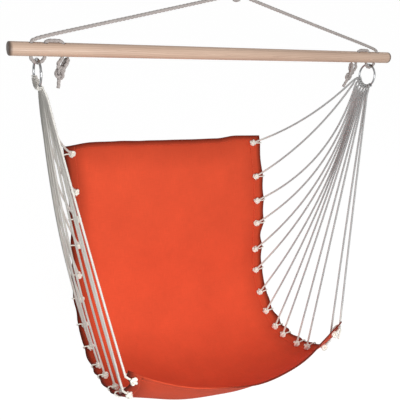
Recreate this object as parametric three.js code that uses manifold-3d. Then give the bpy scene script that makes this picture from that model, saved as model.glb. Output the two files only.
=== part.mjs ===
// A hammock chair: a round wooden spreader bar on a knotted rope, two steel rings,
// fourteen cords on each side and a canvas seat.
// Millimetres, +Z up. X runs along the bar and the sitter faces -Y.
// The origin is where the hook bears, at the inner top of the hanging loop.

import * as THREE from 'three';
import { mergeVertices } from 'three/addons/utils/BufferGeometryUtils.js';
import Module from 'manifold-3d';

const wasm = await Module();
wasm.setup();

// Clearance between touching pieces, and how far a cutter runs past what it cuts
const GAP = 0.3;
const CUT_OVERRUN = 2;

// Spreader bar and its rope holes
const BAR_LENGTH = 1000;
const BAR_DIAMETER = 28;
const BAR_END_ROUND = 3;
const HOLE_CLEARANCE = 0.6;
const HOLE_LEAD = 3;

// Suspension rope, from the hanging knot to the stopper knot at each bar end
const ROPE_DIAMETER = 8;
const ROPE_BEND = 5;
const ARCH_LIFT = 0.5;
const LEG_LIFT = 4;
const RING_INSET = 59;
const BIGHT_RADIUS = 14;
const BIGHT_DROP = 26.8;
const ARCH_SPAN = 37;
const APEX_HEIGHT = 133;

// Hanging knot and loop
const HANG_KNOT_WIDTH = 34;
const HANG_KNOT_HEIGHT = 40;
const HANG_KNOT_SHARES = [
  [0, -1], [0.55, -1], [0.86, -0.72], [1, -0.34], [1, 0.34], [0.86, 0.72], [0.64, 1], [0, 1],
];
const EYE_WIDTH = 46;
const EYE_HEIGHT = 64;
const EYE_FOOT_SPACING = 11;

// Stopper knot and tail under each bar end
const END_KNOT_DIAMETER = 20;
const END_KNOT_LENGTH = 33;
const END_KNOT_DROP = 17;
const END_TAIL_LENGTH = 16;

// Steel rings
const RING_DIAMETER = 62;
const RING_WIRE = 5;
const RING_PLAY = 0.5;

// Cords, their hitches on the rings and their knots in the seat's edges
const CORD_DIAMETER = 4;
const CORD_PLAY = 0.4;
const HITCH_PITCH = 16.8;
const HITCH_TURN = 9.5;
const KNOT_DIAMETER = 14.5;
const KNOT_LIFT = 0.6;
const KNOT_OFFSET = 1.5;
const INNER_KNOTS = 12;
const EYELET_INSET = 20;
const EYELET_CLEARANCE = 0.8;

// Canvas seat
const SEAT_WIDTH = 610;
const SEAT_DEPTH = 520;
const SEAT_HEIGHT = 500;
const SEAT_TOP_DROP = 306;
const SAG_POWER = 1.8;
const PANEL_THICKNESS = 1.6;
const HEM_THICKNESS = 3.2;
const SIDE_HEM_WIDTH = 34;
const END_HEM_WIDTH = 15;

// Side view of the seat's laced edges and of its middle, back top to front hem:
// shares of the depth from the rings' plane, and of the height down from the top corner
const EDGE_SHARES = [
  [0.463, 0], [0.365, 0.224], [0.279, 0.48], [0.206, 0.77], [0.042, 0.96],
  [-0.154, 0.994], [-0.4, 0.895], [-0.484, 0.768], [-0.512, 0.658],
];
const MIDDLE_SHARES = [
  [0.483, -0.008], [0.39, 0.248], [0.308, 0.528], [0.227, 0.788], [0.087, 0.972],
  [-0.144, 1.066], [-0.424, 1.02], [-0.668, 0.772],
];

// Places of the eyelets along each edge, from the back top: shares of the edge's length
const EYELET_SHARES = [
  0.018, 0.128, 0.205, 0.28, 0.369, 0.442, 0.52,
  0.59, 0.658, 0.705, 0.781, 0.834, 0.91, 0.979,
];

// How far the middle of each cord hangs off its straight line: shares of that line
const CORD_BOW_SHARES = [
  0.022, 0.043, 0.112, 0.101, 0.085, 0.072, 0.058,
  0.044, 0.032, 0.027, 0.016, 0.011, 0.006, 0.006,
];

// Facet counts
const BAR_SIDES = 24;
const HOLE_SIDES = 10;
const EYELET_SIDES = 6;
const TUBE_SIDES = 8;
const RING_SEGMENTS = 24;
const BIGHT_PIECES = 8;
const EYE_PIECES = 8;
const BEND_PIECES = 3;
const STRAIGHT_STEPS = 3;
const BOWED_STEPS = 6;
const BOW_LIMIT_SHARE = 0.04;
const LOOP_SIDES = 5;
const LOOP_SEGMENTS = 8;
const BALL_SEGMENTS = [8, 5];
const KNOT_SIDES = 12;
const PANEL_COLUMNS = 12;
const SEAT_ROWS = 26;

const barRadius = BAR_DIAMETER / 2;
const ropeRadius = ROPE_DIAMETER / 2;
const cordRadius = CORD_DIAMETER / 2;
const knotRadius = KNOT_DIAMETER / 2;
const wireRadius = RING_WIRE / 2;
const ringX = BAR_LENGTH / 2 - RING_INSET;
const ringRadius = RING_DIAMETER / 2 - wireRadius;
const ringZ = -BIGHT_DROP - (ringRadius - wireRadius - ropeRadius - RING_PLAY);
const outerHoleX = ringX + BIGHT_RADIUS;
const middleHoleX = ringX - BIGHT_RADIUS;
const innerHoleX = middleHoleX - ARCH_SPAN;
const holeRadius = ropeRadius + HOLE_CLEARANCE;
const archBendZ = barRadius + ARCH_LIFT + ropeRadius - ROPE_BEND;
const legBendZ = barRadius + LEG_LIFT + ropeRadius - ROPE_BEND;
const eyeTopZ = APEX_HEIGHT + HANG_KNOT_HEIGHT / 2 + EYE_HEIGHT;
const originZ = eyeTopZ - ropeRadius;

const rope = new THREE.MeshStandardMaterial({ color: 0xb9aba0, roughness: 0.9, metalness: 0 });
const cotton = new THREE.MeshStandardMaterial({ color: 0xd8cdc4, roughness: 0.9, metalness: 0 });
const wood = new THREE.MeshStandardMaterial({ color: 0xd9b48c, roughness: 0.6, metalness: 0 });
const steel = new THREE.MeshStandardMaterial({ color: 0xb8bcc0, roughness: 0.25, metalness: 1 });
const canvas = new THREE.MeshStandardMaterial({ color: 0xd8482d, roughness: 0.85, metalness: 0 });
const hemCanvas = new THREE.MeshStandardMaterial({ color: 0xb93520, roughness: 0.85, metalness: 0 });

const chair = new THREE.Group();
chair.position.z = -originZ;

function addMesh(name, geometry, material) {
  const mesh = new THREE.Mesh(geometry, material);
  mesh.name = name;
  chair.add(mesh);
}

// Solids for joining and cutting

function toSolid(geometry) {
  const bare = geometry.clone();
  bare.deleteAttribute('normal');
  bare.deleteAttribute('uv');
  const merged = mergeVertices(bare);
  return new wasm.Manifold(new wasm.Mesh({
    numProp: 3,
    vertProperties: new Float32Array(merged.attributes.position.array),
    triVerts: new Uint32Array(merged.index.array),
  }));
}

function toGeometry(solid) {
  const mesh = solid.getMesh();
  const geometry = new THREE.BufferGeometry();
  geometry.setAttribute('position', new THREE.BufferAttribute(mesh.vertProperties, mesh.numProp));
  geometry.setIndex(new THREE.BufferAttribute(mesh.triVerts, 1));
  geometry.computeVertexNormals();
  return geometry;
}

function joinAll(solids) {
  return solids.reduce((joined, solid) => joined.add(solid));
}

// Curves and tubes

function roundShape(radius, sides, boreRadius = 0) {
  const corners = (size) => Array.from({ length: sides }, (unused, index) => {
    const angle = (2 * Math.PI * index) / sides;
    return new THREE.Vector2(Math.cos(angle), Math.sin(angle)).multiplyScalar(size);
  });
  const shape = new THREE.Shape(corners(radius));
  if (boreRadius > 0) {
    shape.holes.push(new THREE.Path(corners(boreRadius)));
  }
  return shape;
}

function tube(path, radius, steps, sides = TUBE_SIDES, boreRadius = 0) {
  const shape = roundShape(radius, sides, boreRadius);
  return new THREE.ExtrudeGeometry(shape, { steps, extrudePath: path, bevelEnabled: false });
}

function arc(centre, radius, fromDegrees, toDegrees, pieces) {
  return Array.from({ length: pieces + 1 }, (unused, index) => {
    const angle = THREE.MathUtils.degToRad(
      THREE.MathUtils.lerp(fromDegrees, toDegrees, index / pieces),
    );
    return new THREE.Vector3(
      centre.x + radius * Math.cos(angle), 0, centre.z + radius * Math.sin(angle),
    );
  });
}

// A path whose rings stand exactly on the listed points, square to the listed directions
function pathThrough(points, directions) {
  const path = new THREE.CatmullRomCurve3(points);
  path.getSpacedPoints = () => points;
  path.getTangentAt = (share) => directions[Math.round(share * (points.length - 1))].clone();
  return path;
}

function tubeThrough(points, radius) {
  const directions = points.map((unused, index) => {
    const before = points[Math.max(index - 1, 0)];
    const after = points[Math.min(index + 1, points.length - 1)];
    return after.clone().sub(before).normalize();
  });
  return tube(pathThrough(points, directions), radius, points.length - 1);
}

// Seat surface

function sideCurve(shares) {
  const points = shares.map(([depth, drop]) => (
    new THREE.Vector3(0, depth * SEAT_DEPTH, -SEAT_TOP_DROP - drop * SEAT_HEIGHT)
  ));
  return new THREE.CatmullRomCurve3(points);
}

const edgeCurve = sideCurve(EDGE_SHARES);
const middleCurve = sideCurve(MIDDLE_SHARES);
const seatLength = edgeCurve.getLength();

// across runs from -1 at the left edge to 1 at the right, along from 0 at the back top to 1
function seatPoint(across, along) {
  const edge = edgeCurve.getPointAt(along);
  const middle = middleCurve.getPointAt(along);
  const point = edge.lerp(middle, 1 - Math.abs(across) ** SAG_POWER);
  point.x = (across * SEAT_WIDTH) / 2;
  return point;
}

function seatFrame(across, along) {
  const step = 1 / SEAT_WIDTH;
  const left = seatPoint(Math.max(across - step, -1), along);
  const right = seatPoint(Math.min(across + step, 1), along);
  const above = seatPoint(across, Math.max(along - step, 0));
  const below = seatPoint(across, Math.min(along + step, 1));
  const width = right.sub(left).normalize();
  const length = below.sub(above).normalize();
  const inward = new THREE.Vector3().crossVectors(length, width).normalize();
  return { width, length, inward };
}

// A closed sheet of even thickness over part of the seat surface
function sheet(acrossFrom, acrossTo, alongFrom, alongTo, columns, rows, thickness) {
  const inner = [];
  const outer = [];
  for (let row = 0; row <= rows; row += 1) {
    for (let column = 0; column <= columns; column += 1) {
      const across = THREE.MathUtils.lerp(acrossFrom, acrossTo, column / columns);
      const along = THREE.MathUtils.lerp(alongFrom, alongTo, row / rows);
      const point = seatPoint(across, along);
      const { inward } = seatFrame(across, along);
      inner.push(...point.clone().addScaledVector(inward, thickness / 2).toArray());
      outer.push(...point.clone().addScaledVector(inward, -thickness / 2).toArray());
    }
  }
  const count = (rows + 1) * (columns + 1);
  const at = (row, column) => row * (columns + 1) + column;
  const faces = [];
  const quad = (a, b, c, d) => faces.push(a, b, c, a, c, d);
  for (let row = 0; row < rows; row += 1) {
    for (let column = 0; column < columns; column += 1) {
      const corners = [
        at(row, column), at(row + 1, column), at(row + 1, column + 1), at(row, column + 1),
      ];
      quad(...corners);
      quad(...corners.reverse().map((index) => index + count));
    }
  }
  for (let row = 0; row < rows; row += 1) {
    quad(at(row, 0), at(row, 0) + count, at(row + 1, 0) + count, at(row + 1, 0));
    const a = at(row, columns);
    const b = at(row + 1, columns);
    quad(a, b, b + count, a + count);
  }
  for (let column = 0; column < columns; column += 1) {
    const a = at(0, column);
    const b = at(0, column + 1);
    quad(a, b, b + count, a + count);
    const c = at(rows, column);
    const d = at(rows, column + 1);
    quad(c, c + count, d + count, d);
  }
  const geometry = new THREE.BufferGeometry();
  geometry.setAttribute('position', new THREE.Float32BufferAttribute([...inner, ...outer], 3));
  geometry.setIndex(faces);
  geometry.computeVertexNormals();
  return geometry;
}

// Wood

function makeSpreaderBar() {
  const half = BAR_LENGTH / 2;
  const profile = [
    new THREE.Vector2(0, -half),
    new THREE.Vector2(barRadius - BAR_END_ROUND, -half),
    new THREE.Vector2(barRadius, -half + BAR_END_ROUND),
    new THREE.Vector2(barRadius, half - BAR_END_ROUND),
    new THREE.Vector2(barRadius - BAR_END_ROUND, half),
    new THREE.Vector2(0, half),
  ];
  const blank = new THREE.LatheGeometry(profile, BAR_SIDES);
  blank.rotateZ(-Math.PI / 2);
  let bar = toSolid(blank);
  const cutHalf = barRadius + CUT_OVERRUN;
  const leadRadius = holeRadius + HOLE_LEAD + CUT_OVERRUN;
  const leadZ = barRadius - HOLE_LEAD;
  const holeProfile = [
    new THREE.Vector2(0, -cutHalf),
    new THREE.Vector2(leadRadius, -cutHalf),
    new THREE.Vector2(holeRadius, -leadZ),
    new THREE.Vector2(holeRadius, leadZ),
    new THREE.Vector2(leadRadius, cutHalf),
    new THREE.Vector2(0, cutHalf),
  ];
  for (const side of [-1, 1]) {
    for (const x of [outerHoleX, middleHoleX, innerHoleX]) {
      const cutter = new THREE.LatheGeometry(holeProfile, HOLE_SIDES);
      cutter.rotateX(Math.PI / 2);
      cutter.translate(side * x, 0, 0);
      bar = bar.subtract(toSolid(cutter));
    }
  }
  addMesh('spreader_bar', toGeometry(bar), wood);
}

// Suspension rope

function makeHangingKnot() {
  const profile = HANG_KNOT_SHARES.map(([wide, high]) => (
    new THREE.Vector2(wide * (HANG_KNOT_WIDTH / 2), high * (HANG_KNOT_HEIGHT / 2))
  ));
  const knot = new THREE.LatheGeometry(profile, KNOT_SIDES);
  knot.rotateX(Math.PI / 2);
  knot.translate(0, 0, APEX_HEIGHT);
  addMesh('hang_knot', knot, rope);
}

function makeHangingLoop() {
  const footZ = APEX_HEIGHT + HANG_KNOT_HEIGHT / 2 + GAP;
  const footX = EYE_FOOT_SPACING / 2;
  const eyeX = (EYE_WIDTH - ROPE_DIAMETER) / 2;
  const eyeZ = eyeTopZ - eyeX;
  const right = [
    new THREE.Vector3(footX, 0, footZ),
    new THREE.Vector3(footX, 0, footZ + ROPE_BEND),
    new THREE.Vector3((footX + eyeX) / 2, 0, (footZ + eyeZ) / 2),
  ];
  const left = right.map((point) => new THREE.Vector3(-point.x, 0, point.z)).reverse();
  const points = [...right, ...arc({ x: 0, z: eyeZ }, eyeX, 0, 180, EYE_PIECES), ...left];
  addMesh('hang_loop', tubeThrough(points, ropeRadius), rope);
}

function mirrored(points, side) {
  return points.map((point) => new THREE.Vector3(side * point.x, point.y, point.z));
}

function makeLeg(name, side) {
  const apex = new THREE.Vector3(0, 0, APEX_HEIGHT);
  const bend = new THREE.Vector3(outerHoleX - ROPE_BEND, 0, legBendZ);
  const reach = bend.distanceTo(apex);
  const fall = Math.atan2(apex.z - bend.z, bend.x) - Math.asin(ROPE_BEND / reach);
  const direction = new THREE.Vector3(Math.cos(fall), 0, -Math.sin(fall));
  const knotClear = HANG_KNOT_WIDTH / 2 + GAP - ropeRadius * direction.z;
  const start = apex.clone().addScaledVector(direction, knotClear / direction.x);
  const turn = arc(bend, ROPE_BEND, 90 - THREE.MathUtils.radToDeg(fall), 0, BEND_PIECES);
  const end = new THREE.Vector3(outerHoleX, 0, GAP / 2);
  const middle = start.clone().lerp(turn[0], 1 / 2);
  addMesh(name, tubeThrough(mirrored([start, middle, ...turn, end], side), ropeRadius), rope);
}

function makeLacing(name, side) {
  const bightZ = BIGHT_RADIUS - BIGHT_DROP;
  const points = [
    new THREE.Vector3(outerHoleX, 0, -GAP / 2),
    ...arc({ x: ringX, z: bightZ }, BIGHT_RADIUS, 0, -180, BIGHT_PIECES),
    ...arc({ x: middleHoleX - ROPE_BEND, z: archBendZ }, ROPE_BEND, 0, 90, BEND_PIECES),
    ...arc({ x: innerHoleX + ROPE_BEND, z: archBendZ }, ROPE_BEND, 90, 180, BEND_PIECES),
    new THREE.Vector3(innerHoleX, 0, GAP / 2),
  ];
  addMesh(name, tubeThrough(mirrored(points, side), ropeRadius), rope);
}

function makeEndKnot(name, side) {
  const knotTop = -barRadius - END_KNOT_DROP;
  const knotMiddle = knotTop - END_KNOT_LENGTH / 2;
  const knotBottom = knotTop - END_KNOT_LENGTH;
  const bulge = END_KNOT_DIAMETER / 2;
  const shoulder = END_KNOT_LENGTH / 4;
  const profile = [
    new THREE.Vector2(0, knotBottom - END_TAIL_LENGTH),
    new THREE.Vector2(ropeRadius, knotBottom - END_TAIL_LENGTH),
    new THREE.Vector2(ropeRadius, knotBottom),
    new THREE.Vector2(bulge, knotMiddle - shoulder),
    new THREE.Vector2(bulge, knotMiddle + shoulder),
    new THREE.Vector2(ropeRadius, knotTop),
    new THREE.Vector2(ropeRadius, -GAP / 2),
    new THREE.Vector2(0, -GAP / 2),
  ];
  const knot = new THREE.LatheGeometry(profile, TUBE_SIDES);
  knot.rotateX(Math.PI / 2);
  knot.translate(side * innerHoleX, 0, 0);
  addMesh(name, knot, rope);
}

// Steel rings, hanging edge on to the bar

function makeRing(name, side) {
  const ring = new THREE.TorusGeometry(ringRadius, wireRadius, TUBE_SIDES, RING_SEGMENTS);
  ring.rotateY(Math.PI / 2);
  ring.translate(side * ringX, 0, ringZ);
  addMesh(name, ring, steel);
}

// Cords: each is doubled, hitched over its ring's wire and knotted into two eyelets,
// and the first hangs at the back

const hitchCount = EYELET_SHARES.length / 2;
const hitchRadius = wireRadius + GAP + CORD_DIAMETER;

function hitchAngle(hitch) {
  const turn = HITCH_TURN + (hitchCount - 1 - 2 * hitch) * (HITCH_PITCH / 2);
  return THREE.MathUtils.degToRad(turn);
}

// A place on the ring's wire, counted from straight down towards the back
function wirePoint(angle, side, radius = ringRadius) {
  return new THREE.Vector3(
    side * ringX, radius * Math.sin(angle), ringZ - radius * Math.cos(angle),
  );
}

function hitchSolid(hitch, side) {
  const bore = (wireRadius + CORD_PLAY) / Math.cos(Math.PI / TUBE_SIDES);
  const halfPitch = THREE.MathUtils.degToRad(HITCH_PITCH / 2);
  const halfTurn = halfPitch - GAP / 2 / (ringRadius - hitchRadius);
  const middle = hitchAngle(hitch);
  const angles = [middle - halfTurn, middle, middle + halfTurn];
  const points = angles.map((angle) => wirePoint(angle, side));
  const directions = angles.map((angle) => new THREE.Vector3(0, Math.cos(angle), Math.sin(angle)));
  const path = pathThrough(points, directions);
  return toSolid(tube(path, hitchRadius, points.length - 1, TUBE_SIDES, bore));
}

// An eyelet lies on the flat facet of the side hem between two of its rows. Its own
// directions run out past the edge, and in towards the sitter.
function eyeletPlace(eyelet, side) {
  const across = side * (1 - EYELET_INSET / (SEAT_WIDTH / 2));
  const place = EYELET_SHARES[eyelet] * SEAT_ROWS;
  const row = Math.floor(place);
  const onRow = (share, index) => seatPoint(share, index / SEAT_ROWS);
  const onFacet = (share) => onRow(share, row).lerp(onRow(share, row + 1), place - row);
  const centre = onFacet(across);
  const out = onFacet(side).sub(centre);
  const edgeReach = out.length();
  out.normalize();
  const length = onRow(across, row + 1).sub(onRow(across, row));
  const inward = new THREE.Vector3().crossVectors(length, out).multiplyScalar(side).normalize();
  return { centre, out, inward, edgeReach };
}

// The knots from the back top on lie on the seat's inner face, and those on the front rise
// on its outer face
function isInnerKnot(eyelet) {
  return eyelet < INNER_KNOTS;
}

function knotCentre(eyelet, side) {
  const { centre, out, inward } = eyeletPlace(eyelet, side);
  const lift = HEM_THICKNESS / 2 + KNOT_LIFT + knotRadius;
  return centre.addScaledVector(inward, isInnerKnot(eyelet) ? lift : -lift)
    .addScaledVector(out, KNOT_OFFSET);
}

// The last points of a leg: its inner knot, or a turn round the hem's edge to its outer knot
function legEnd(eyelet, side) {
  const knot = knotCentre(eyelet, side);
  if (isInnerKnot(eyelet)) {
    return [knot];
  }
  const { centre, out, inward, edgeReach } = eyeletPlace(eyelet, side);
  const clearance = cordRadius + CORD_PLAY;
  const turn = [0, Math.PI / 4, Math.PI / 2].map((angle) => centre.clone()
    .addScaledVector(out, edgeReach + clearance * Math.cos(angle))
    .addScaledVector(inward, -HEM_THICKNESS / 2 - clearance * Math.sin(angle)));
  return [...turn, knot];
}

// A leg comes out of the hitch on the seat's side of the ring and hangs to its knot
function legSolid(eyelet, side) {
  const legTurn = (eyelet % 2 === 0 ? 1 : -1) * THREE.MathUtils.degToRad(HITCH_PITCH / 4);
  const angle = hitchAngle(Math.floor(eyelet / 2)) + legTurn;
  const root = wirePoint(angle, side, ringRadius + CORD_DIAMETER);
  const start = root.clone();
  root.x -= side * (wireRadius + GAP + cordRadius);
  start.x -= side * (hitchRadius + GAP + cordRadius);
  const [end, ...beyond] = legEnd(eyelet, side);
  const straight = end.clone().sub(start);
  const span = straight.length();
  const direction = straight.normalize();
  const down = new THREE.Vector3(0, 0, -1);
  const hang = down.addScaledVector(direction, -down.dot(direction)).normalize();
  const bowShare = CORD_BOW_SHARES[eyelet];
  const steps = bowShare > BOW_LIMIT_SHARE ? BOWED_STEPS : STRAIGHT_STEPS;
  const points = Array.from({ length: steps + 1 }, (unused, step) => {
    const share = step / steps;
    const point = start.clone().lerp(end, share);
    return point.addScaledVector(hang, 4 * bowShare * span * share * (1 - share));
  });
  return toSolid(tubeThrough([root, ...points, ...beyond], cordRadius));
}

// Each knot closes a loop through its eyelet and round the edge
function knotSolid(eyelet, side) {
  const { centre, out, inward, edgeReach } = eyeletPlace(eyelet, side);
  const lengthwise = new THREE.Vector3().crossVectors(out, inward);
  const loopRadius = (edgeReach + CORD_PLAY + cordRadius) / 2;
  const facetTurn = Math.PI / LOOP_SEGMENTS;
  const reach = loopRadius / Math.cos(facetTurn);
  const loop = new THREE.TorusGeometry(reach, cordRadius, LOOP_SIDES, LOOP_SEGMENTS);
  loop.rotateZ(facetTurn);
  loop.translate(loopRadius, 0, 0);
  loop.applyMatrix4(new THREE.Matrix4().makeBasis(out, inward, lengthwise));
  loop.translate(centre.x, centre.y, centre.z);
  const ball = new THREE.SphereGeometry(knotRadius, ...BALL_SEGMENTS);
  ball.translate(...knotCentre(eyelet, side).toArray());
  return toSolid(loop).add(toSolid(ball));
}

function makeCord(name, hitch, side) {
  const solids = [hitchSolid(hitch, side)];
  for (const eyelet of [2 * hitch, 2 * hitch + 1]) {
    solids.push(legSolid(eyelet, side), knotSolid(eyelet, side));
  }
  addMesh(name, toGeometry(joinAll(solids)), cotton);
}

// Canvas seat: one panel and the folded hems round it

const sideHemShare = SIDE_HEM_WIDTH / (SEAT_WIDTH / 2);
const endHemShare = END_HEM_WIDTH / seatLength;
const gapAcross = GAP / (SEAT_WIDTH / 2);
const gapAlong = GAP / seatLength;
const panelAcross = 1 - sideHemShare - gapAcross;

function makePanel() {
  const from = endHemShare + gapAlong;
  const panel = sheet(
    -panelAcross, panelAcross, from, 1 - from, PANEL_COLUMNS, SEAT_ROWS, PANEL_THICKNESS,
  );
  addMesh('seat_panel', panel, canvas);
}

function makeEndHem(name, alongFrom) {
  const hem = sheet(
    -panelAcross, panelAcross, alongFrom, alongFrom + endHemShare, PANEL_COLUMNS, 1, HEM_THICKNESS,
  );
  addMesh(name, hem, hemCanvas);
}

function makeSideHem(name, side) {
  const inner = side * (1 - sideHemShare);
  const band = sheet(Math.min(side, inner), Math.max(side, inner), 0, 1, 1, SEAT_ROWS, HEM_THICKNESS);
  let hem = toSolid(band);
  const radius = cordRadius + EYELET_CLEARANCE;
  EYELET_SHARES.forEach((share, eyelet) => {
    const { centre, inward } = eyeletPlace(eyelet, side);
    const length = HEM_THICKNESS + 2 * CUT_OVERRUN;
    const cutter = new THREE.CylinderGeometry(radius, radius, length, EYELET_SIDES);
    const upright = new THREE.Vector3(0, 1, 0);
    cutter.applyQuaternion(new THREE.Quaternion().setFromUnitVectors(upright, inward));
    cutter.translate(centre.x, centre.y, centre.z);
    hem = hem.subtract(toSolid(cutter));
  });
  addMesh(name, toGeometry(hem), hemCanvas);
}

makeSpreaderBar();
makeHangingKnot();
makeHangingLoop();
for (const [word, side] of [['left', -1], ['right', 1]]) {
  makeLeg(`${word}_leg_rope`, side);
  makeLacing(`${word}_bar_lacing`, side);
  makeEndKnot(`${word}_stopper_knot`, side);
  makeRing(`${word}_ring`, side);
  for (let hitch = 0; hitch < hitchCount; hitch += 1) {
    makeCord(`${word}_cord_${hitch + 1}`, hitch, side);
  }
  makeSideHem(`${word}_side_hem`, side);
}
makePanel();
makeEndHem('back_top_hem', 0);
makeEndHem('front_hem', 1 - endHemShare);

export default chair;
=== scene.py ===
"""A hammock chair: a canvas sling on knotted cords, steel rings, a wooden bar and a rope.

Lengths are metres. X runs along the bar, Z is up and the sitter faces -Y. The origin is
the inner top of the hanging loop, as in the frame.
"""

import math

import bmesh
import bpy
import numpy as np
from bpy.props import FloatProperty, FloatVectorProperty, IntProperty, PointerProperty
from mathutils import Matrix, Vector


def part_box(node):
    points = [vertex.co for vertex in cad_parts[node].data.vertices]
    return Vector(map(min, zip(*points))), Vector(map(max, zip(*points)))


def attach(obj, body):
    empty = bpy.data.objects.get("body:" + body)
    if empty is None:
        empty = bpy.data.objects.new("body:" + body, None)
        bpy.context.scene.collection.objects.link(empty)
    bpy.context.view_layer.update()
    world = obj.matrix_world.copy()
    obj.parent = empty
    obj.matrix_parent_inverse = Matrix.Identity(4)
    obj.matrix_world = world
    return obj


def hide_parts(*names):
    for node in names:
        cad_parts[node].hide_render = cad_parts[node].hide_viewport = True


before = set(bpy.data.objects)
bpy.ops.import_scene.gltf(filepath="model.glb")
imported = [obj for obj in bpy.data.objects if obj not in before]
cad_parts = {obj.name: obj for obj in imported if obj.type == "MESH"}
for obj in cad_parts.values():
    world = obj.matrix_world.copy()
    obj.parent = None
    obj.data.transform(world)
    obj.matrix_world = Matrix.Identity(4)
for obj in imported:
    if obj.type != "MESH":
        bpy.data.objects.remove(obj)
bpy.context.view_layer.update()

bl_info = {
    "name": "Hammock chair",
    "version": (1, 0, 0),
    "blender": (4, 5, 0),
    "location": "3D View > Sidebar > Hammock chair",
    "description": "Builds a hanging chair of canvas, cord, steel and wood",
    "category": "Add Mesh",
}

SIDES = (("left", -1), ("right", 1))

# The cords' own attribute for painted light, 1 where the yarn is painted as lit
PAINTED_LIGHT = "clean"


def middle_of(node):
    low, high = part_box(node)
    return (low + high) / 2


def size_of(node):
    low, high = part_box(node)
    return high - low


# Places and sizes that the frame gives
BAR_SIZE = size_of("spreader_bar")
BAR_Z = middle_of("spreader_bar").z
RING_SIZE = size_of("right_ring")
RING_PLACE = middle_of("right_ring")
ROPE_SIZE = size_of("right_leg_rope")
KNOT_SIZE = size_of("hang_knot")
KNOT_PLACE = middle_of("hang_knot")
LACING_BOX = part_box("right_bar_lacing")
HEM_EDGE_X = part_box("right_side_hem")[1].x

# The seat's laced edge and its middle in side view, from the back top to the front hem:
# shares of the depth from the rings' plane, and of the height down from the top corner
EDGE_SHARES = (
    (0.463, 0), (0.365, 0.224), (0.279, 0.48), (0.206, 0.77), (0.042, 0.96),
    (-0.154, 0.994), (-0.4, 0.895), (-0.484, 0.768), (-0.512, 0.658),
)
MIDDLE_SHARES = (
    (0.483, -0.008), (0.39, 0.248), (0.308, 0.528), (0.227, 0.788), (0.087, 0.972),
    (-0.144, 1.066), (-0.424, 1.02), (-0.668, 0.772),
)

# How fast the middle's curve gives way to the edge's, as a power of the place across
SAG_POWER = 1.8

# How far in from an edge its draw-in fades, how far down from the top edge its waves fade,
# and how far back and up a wave goes for its own height
DRAW_REACH = 0.03
WAVE_REACH = 0.1
WAVE_WAY = (1.135, 0.567)

# Folds of the canvas: ridges that run in from the eyelets, slow waves, each of two sines whose
# numbers are for across, along and the start, and a drag across the seat's bend
RIDGE_HEIGHT = 0.0021
RIDGE_REACH = 0.062
RIDGE_WIDTH = 0.011
RIDGE_SPREAD = 0.2
RIDGE_LEAN = 0.22
SLOW_WAVES = (
    (0.0026, (21, 9, 0.8), (0, 7.5, 0.4)),
    (0.0013, (37, -14, 2.1), (3, 11, 0)),
)
DRAG_HEIGHT = 0.0018
DRAG_PLACE = 0.5
DRAG_SPAN = 0.13
DRAG_WAVE = (5, 58)

# Eyelets along each edge from the back top, and how far each leg of cord hangs off its
# straight line, as shares of the edge and of that line
EYELET_SHARES = (
    0.024, 0.128, 0.205, 0.28, 0.369, 0.442, 0.52,
    0.59, 0.658, 0.705, 0.781, 0.834, 0.91, 0.979,
)
BOW_SHARES = {
    "left": (
        0.08, 0.085, 0.085, 0.062, 0.046, 0.038, 0.032,
        0.028, 0.024, 0.022, 0.016, 0.011, 0.006, 0.006,
    ),
    "right": (
        0.056, 0.054, 0.112, 0.101, 0.085, 0.072, 0.058,
        0.044, 0.032, 0.027, 0.016, 0.011, 0.006, 0.006,
    ),
}

# Knots before this one lie on the seat's inner face, and the others on its outer face
INNER_KNOTS = 12

# How far the top edge waves up and back, from its left end to its right end, how deep each
# edge draws in between its eyelets, and how far it draws in at them, in metres
TOP_WAVE = (0.002, 0.0076, 0.005, 0.001, -0.001, -0.002, -0.001, 0.0073, 0.0073)
SCALLOPS = {
    "left": (0.003, 0.002, 0.003, 0.004, 0.003, 0.003, 0, -0.003, -0.004, -0.004, -0.004, 0, 0.01),
    "right": (0.003, 0.002, 0.002, 0.009, 0.002, 0, -0.004, -0.009, -0.011, -0.011, -0.011, -0.006, 0),
}
EYELET_DRAWS = {
    "left": (0, 0, 0, 0, 0, 0.002, 0.005, 0.009, 0.012, 0.014, 0.015, 0.015, 0.012, 0.005),
    "right": (0,) * 14,
}

# How far each stopper knot leans to the left, in degrees
STOPPER_LEANS = {"left": 8, "right": 19}

# The camera that the photograph fits: place, then turn, tilt and roll in degrees
CAMERA_PLACE = (-0.7766, -1.2513, 0.0721)
CAMERA_TURN = 31.315
CAMERA_TILT = -25.099
CAMERA_ROLL = 8.242
CAMERA_LENS = 56.67
CAMERA_SENSOR = 36.0


# Settings


def metres(name, description, default):
    return FloatProperty(name=name, description=description, default=default, unit="LENGTH")


def paint(name, description, default):
    return FloatVectorProperty(name=name, description=description, default=default, subtype="COLOR")


class BarSettings(bpy.types.PropertyGroup):
    """The wooden spreader bar."""

    diameter: metres("Diameter", "Thickness of the bar", BAR_SIZE.z)
    end_round: metres("End rounding", "Radius of the bar's end edges", 0.0035)
    hole_play: metres("Hole play", "Room round the rope in its holes", 0.0006)
    light_wood: paint("Light wood", "Colour between the grain lines", (0.62, 0.445, 0.335))
    dark_wood: paint("Dark wood", "Colour of the grain lines", (0.46, 0.305, 0.225))


class RopeSettings(bpy.types.PropertyGroup):
    """The suspension rope."""

    diameter: metres("Diameter", "Thickness of the rope", ROPE_SIZE.y)
    lay: metres("Lay", "Length of one turn of a strand", 0.027)
    step: metres("Step", "Length between two rings of the mesh", 0.0021)
    colour: paint("Colour", "Colour of the yarn", (0.47, 0.425, 0.405))


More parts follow.
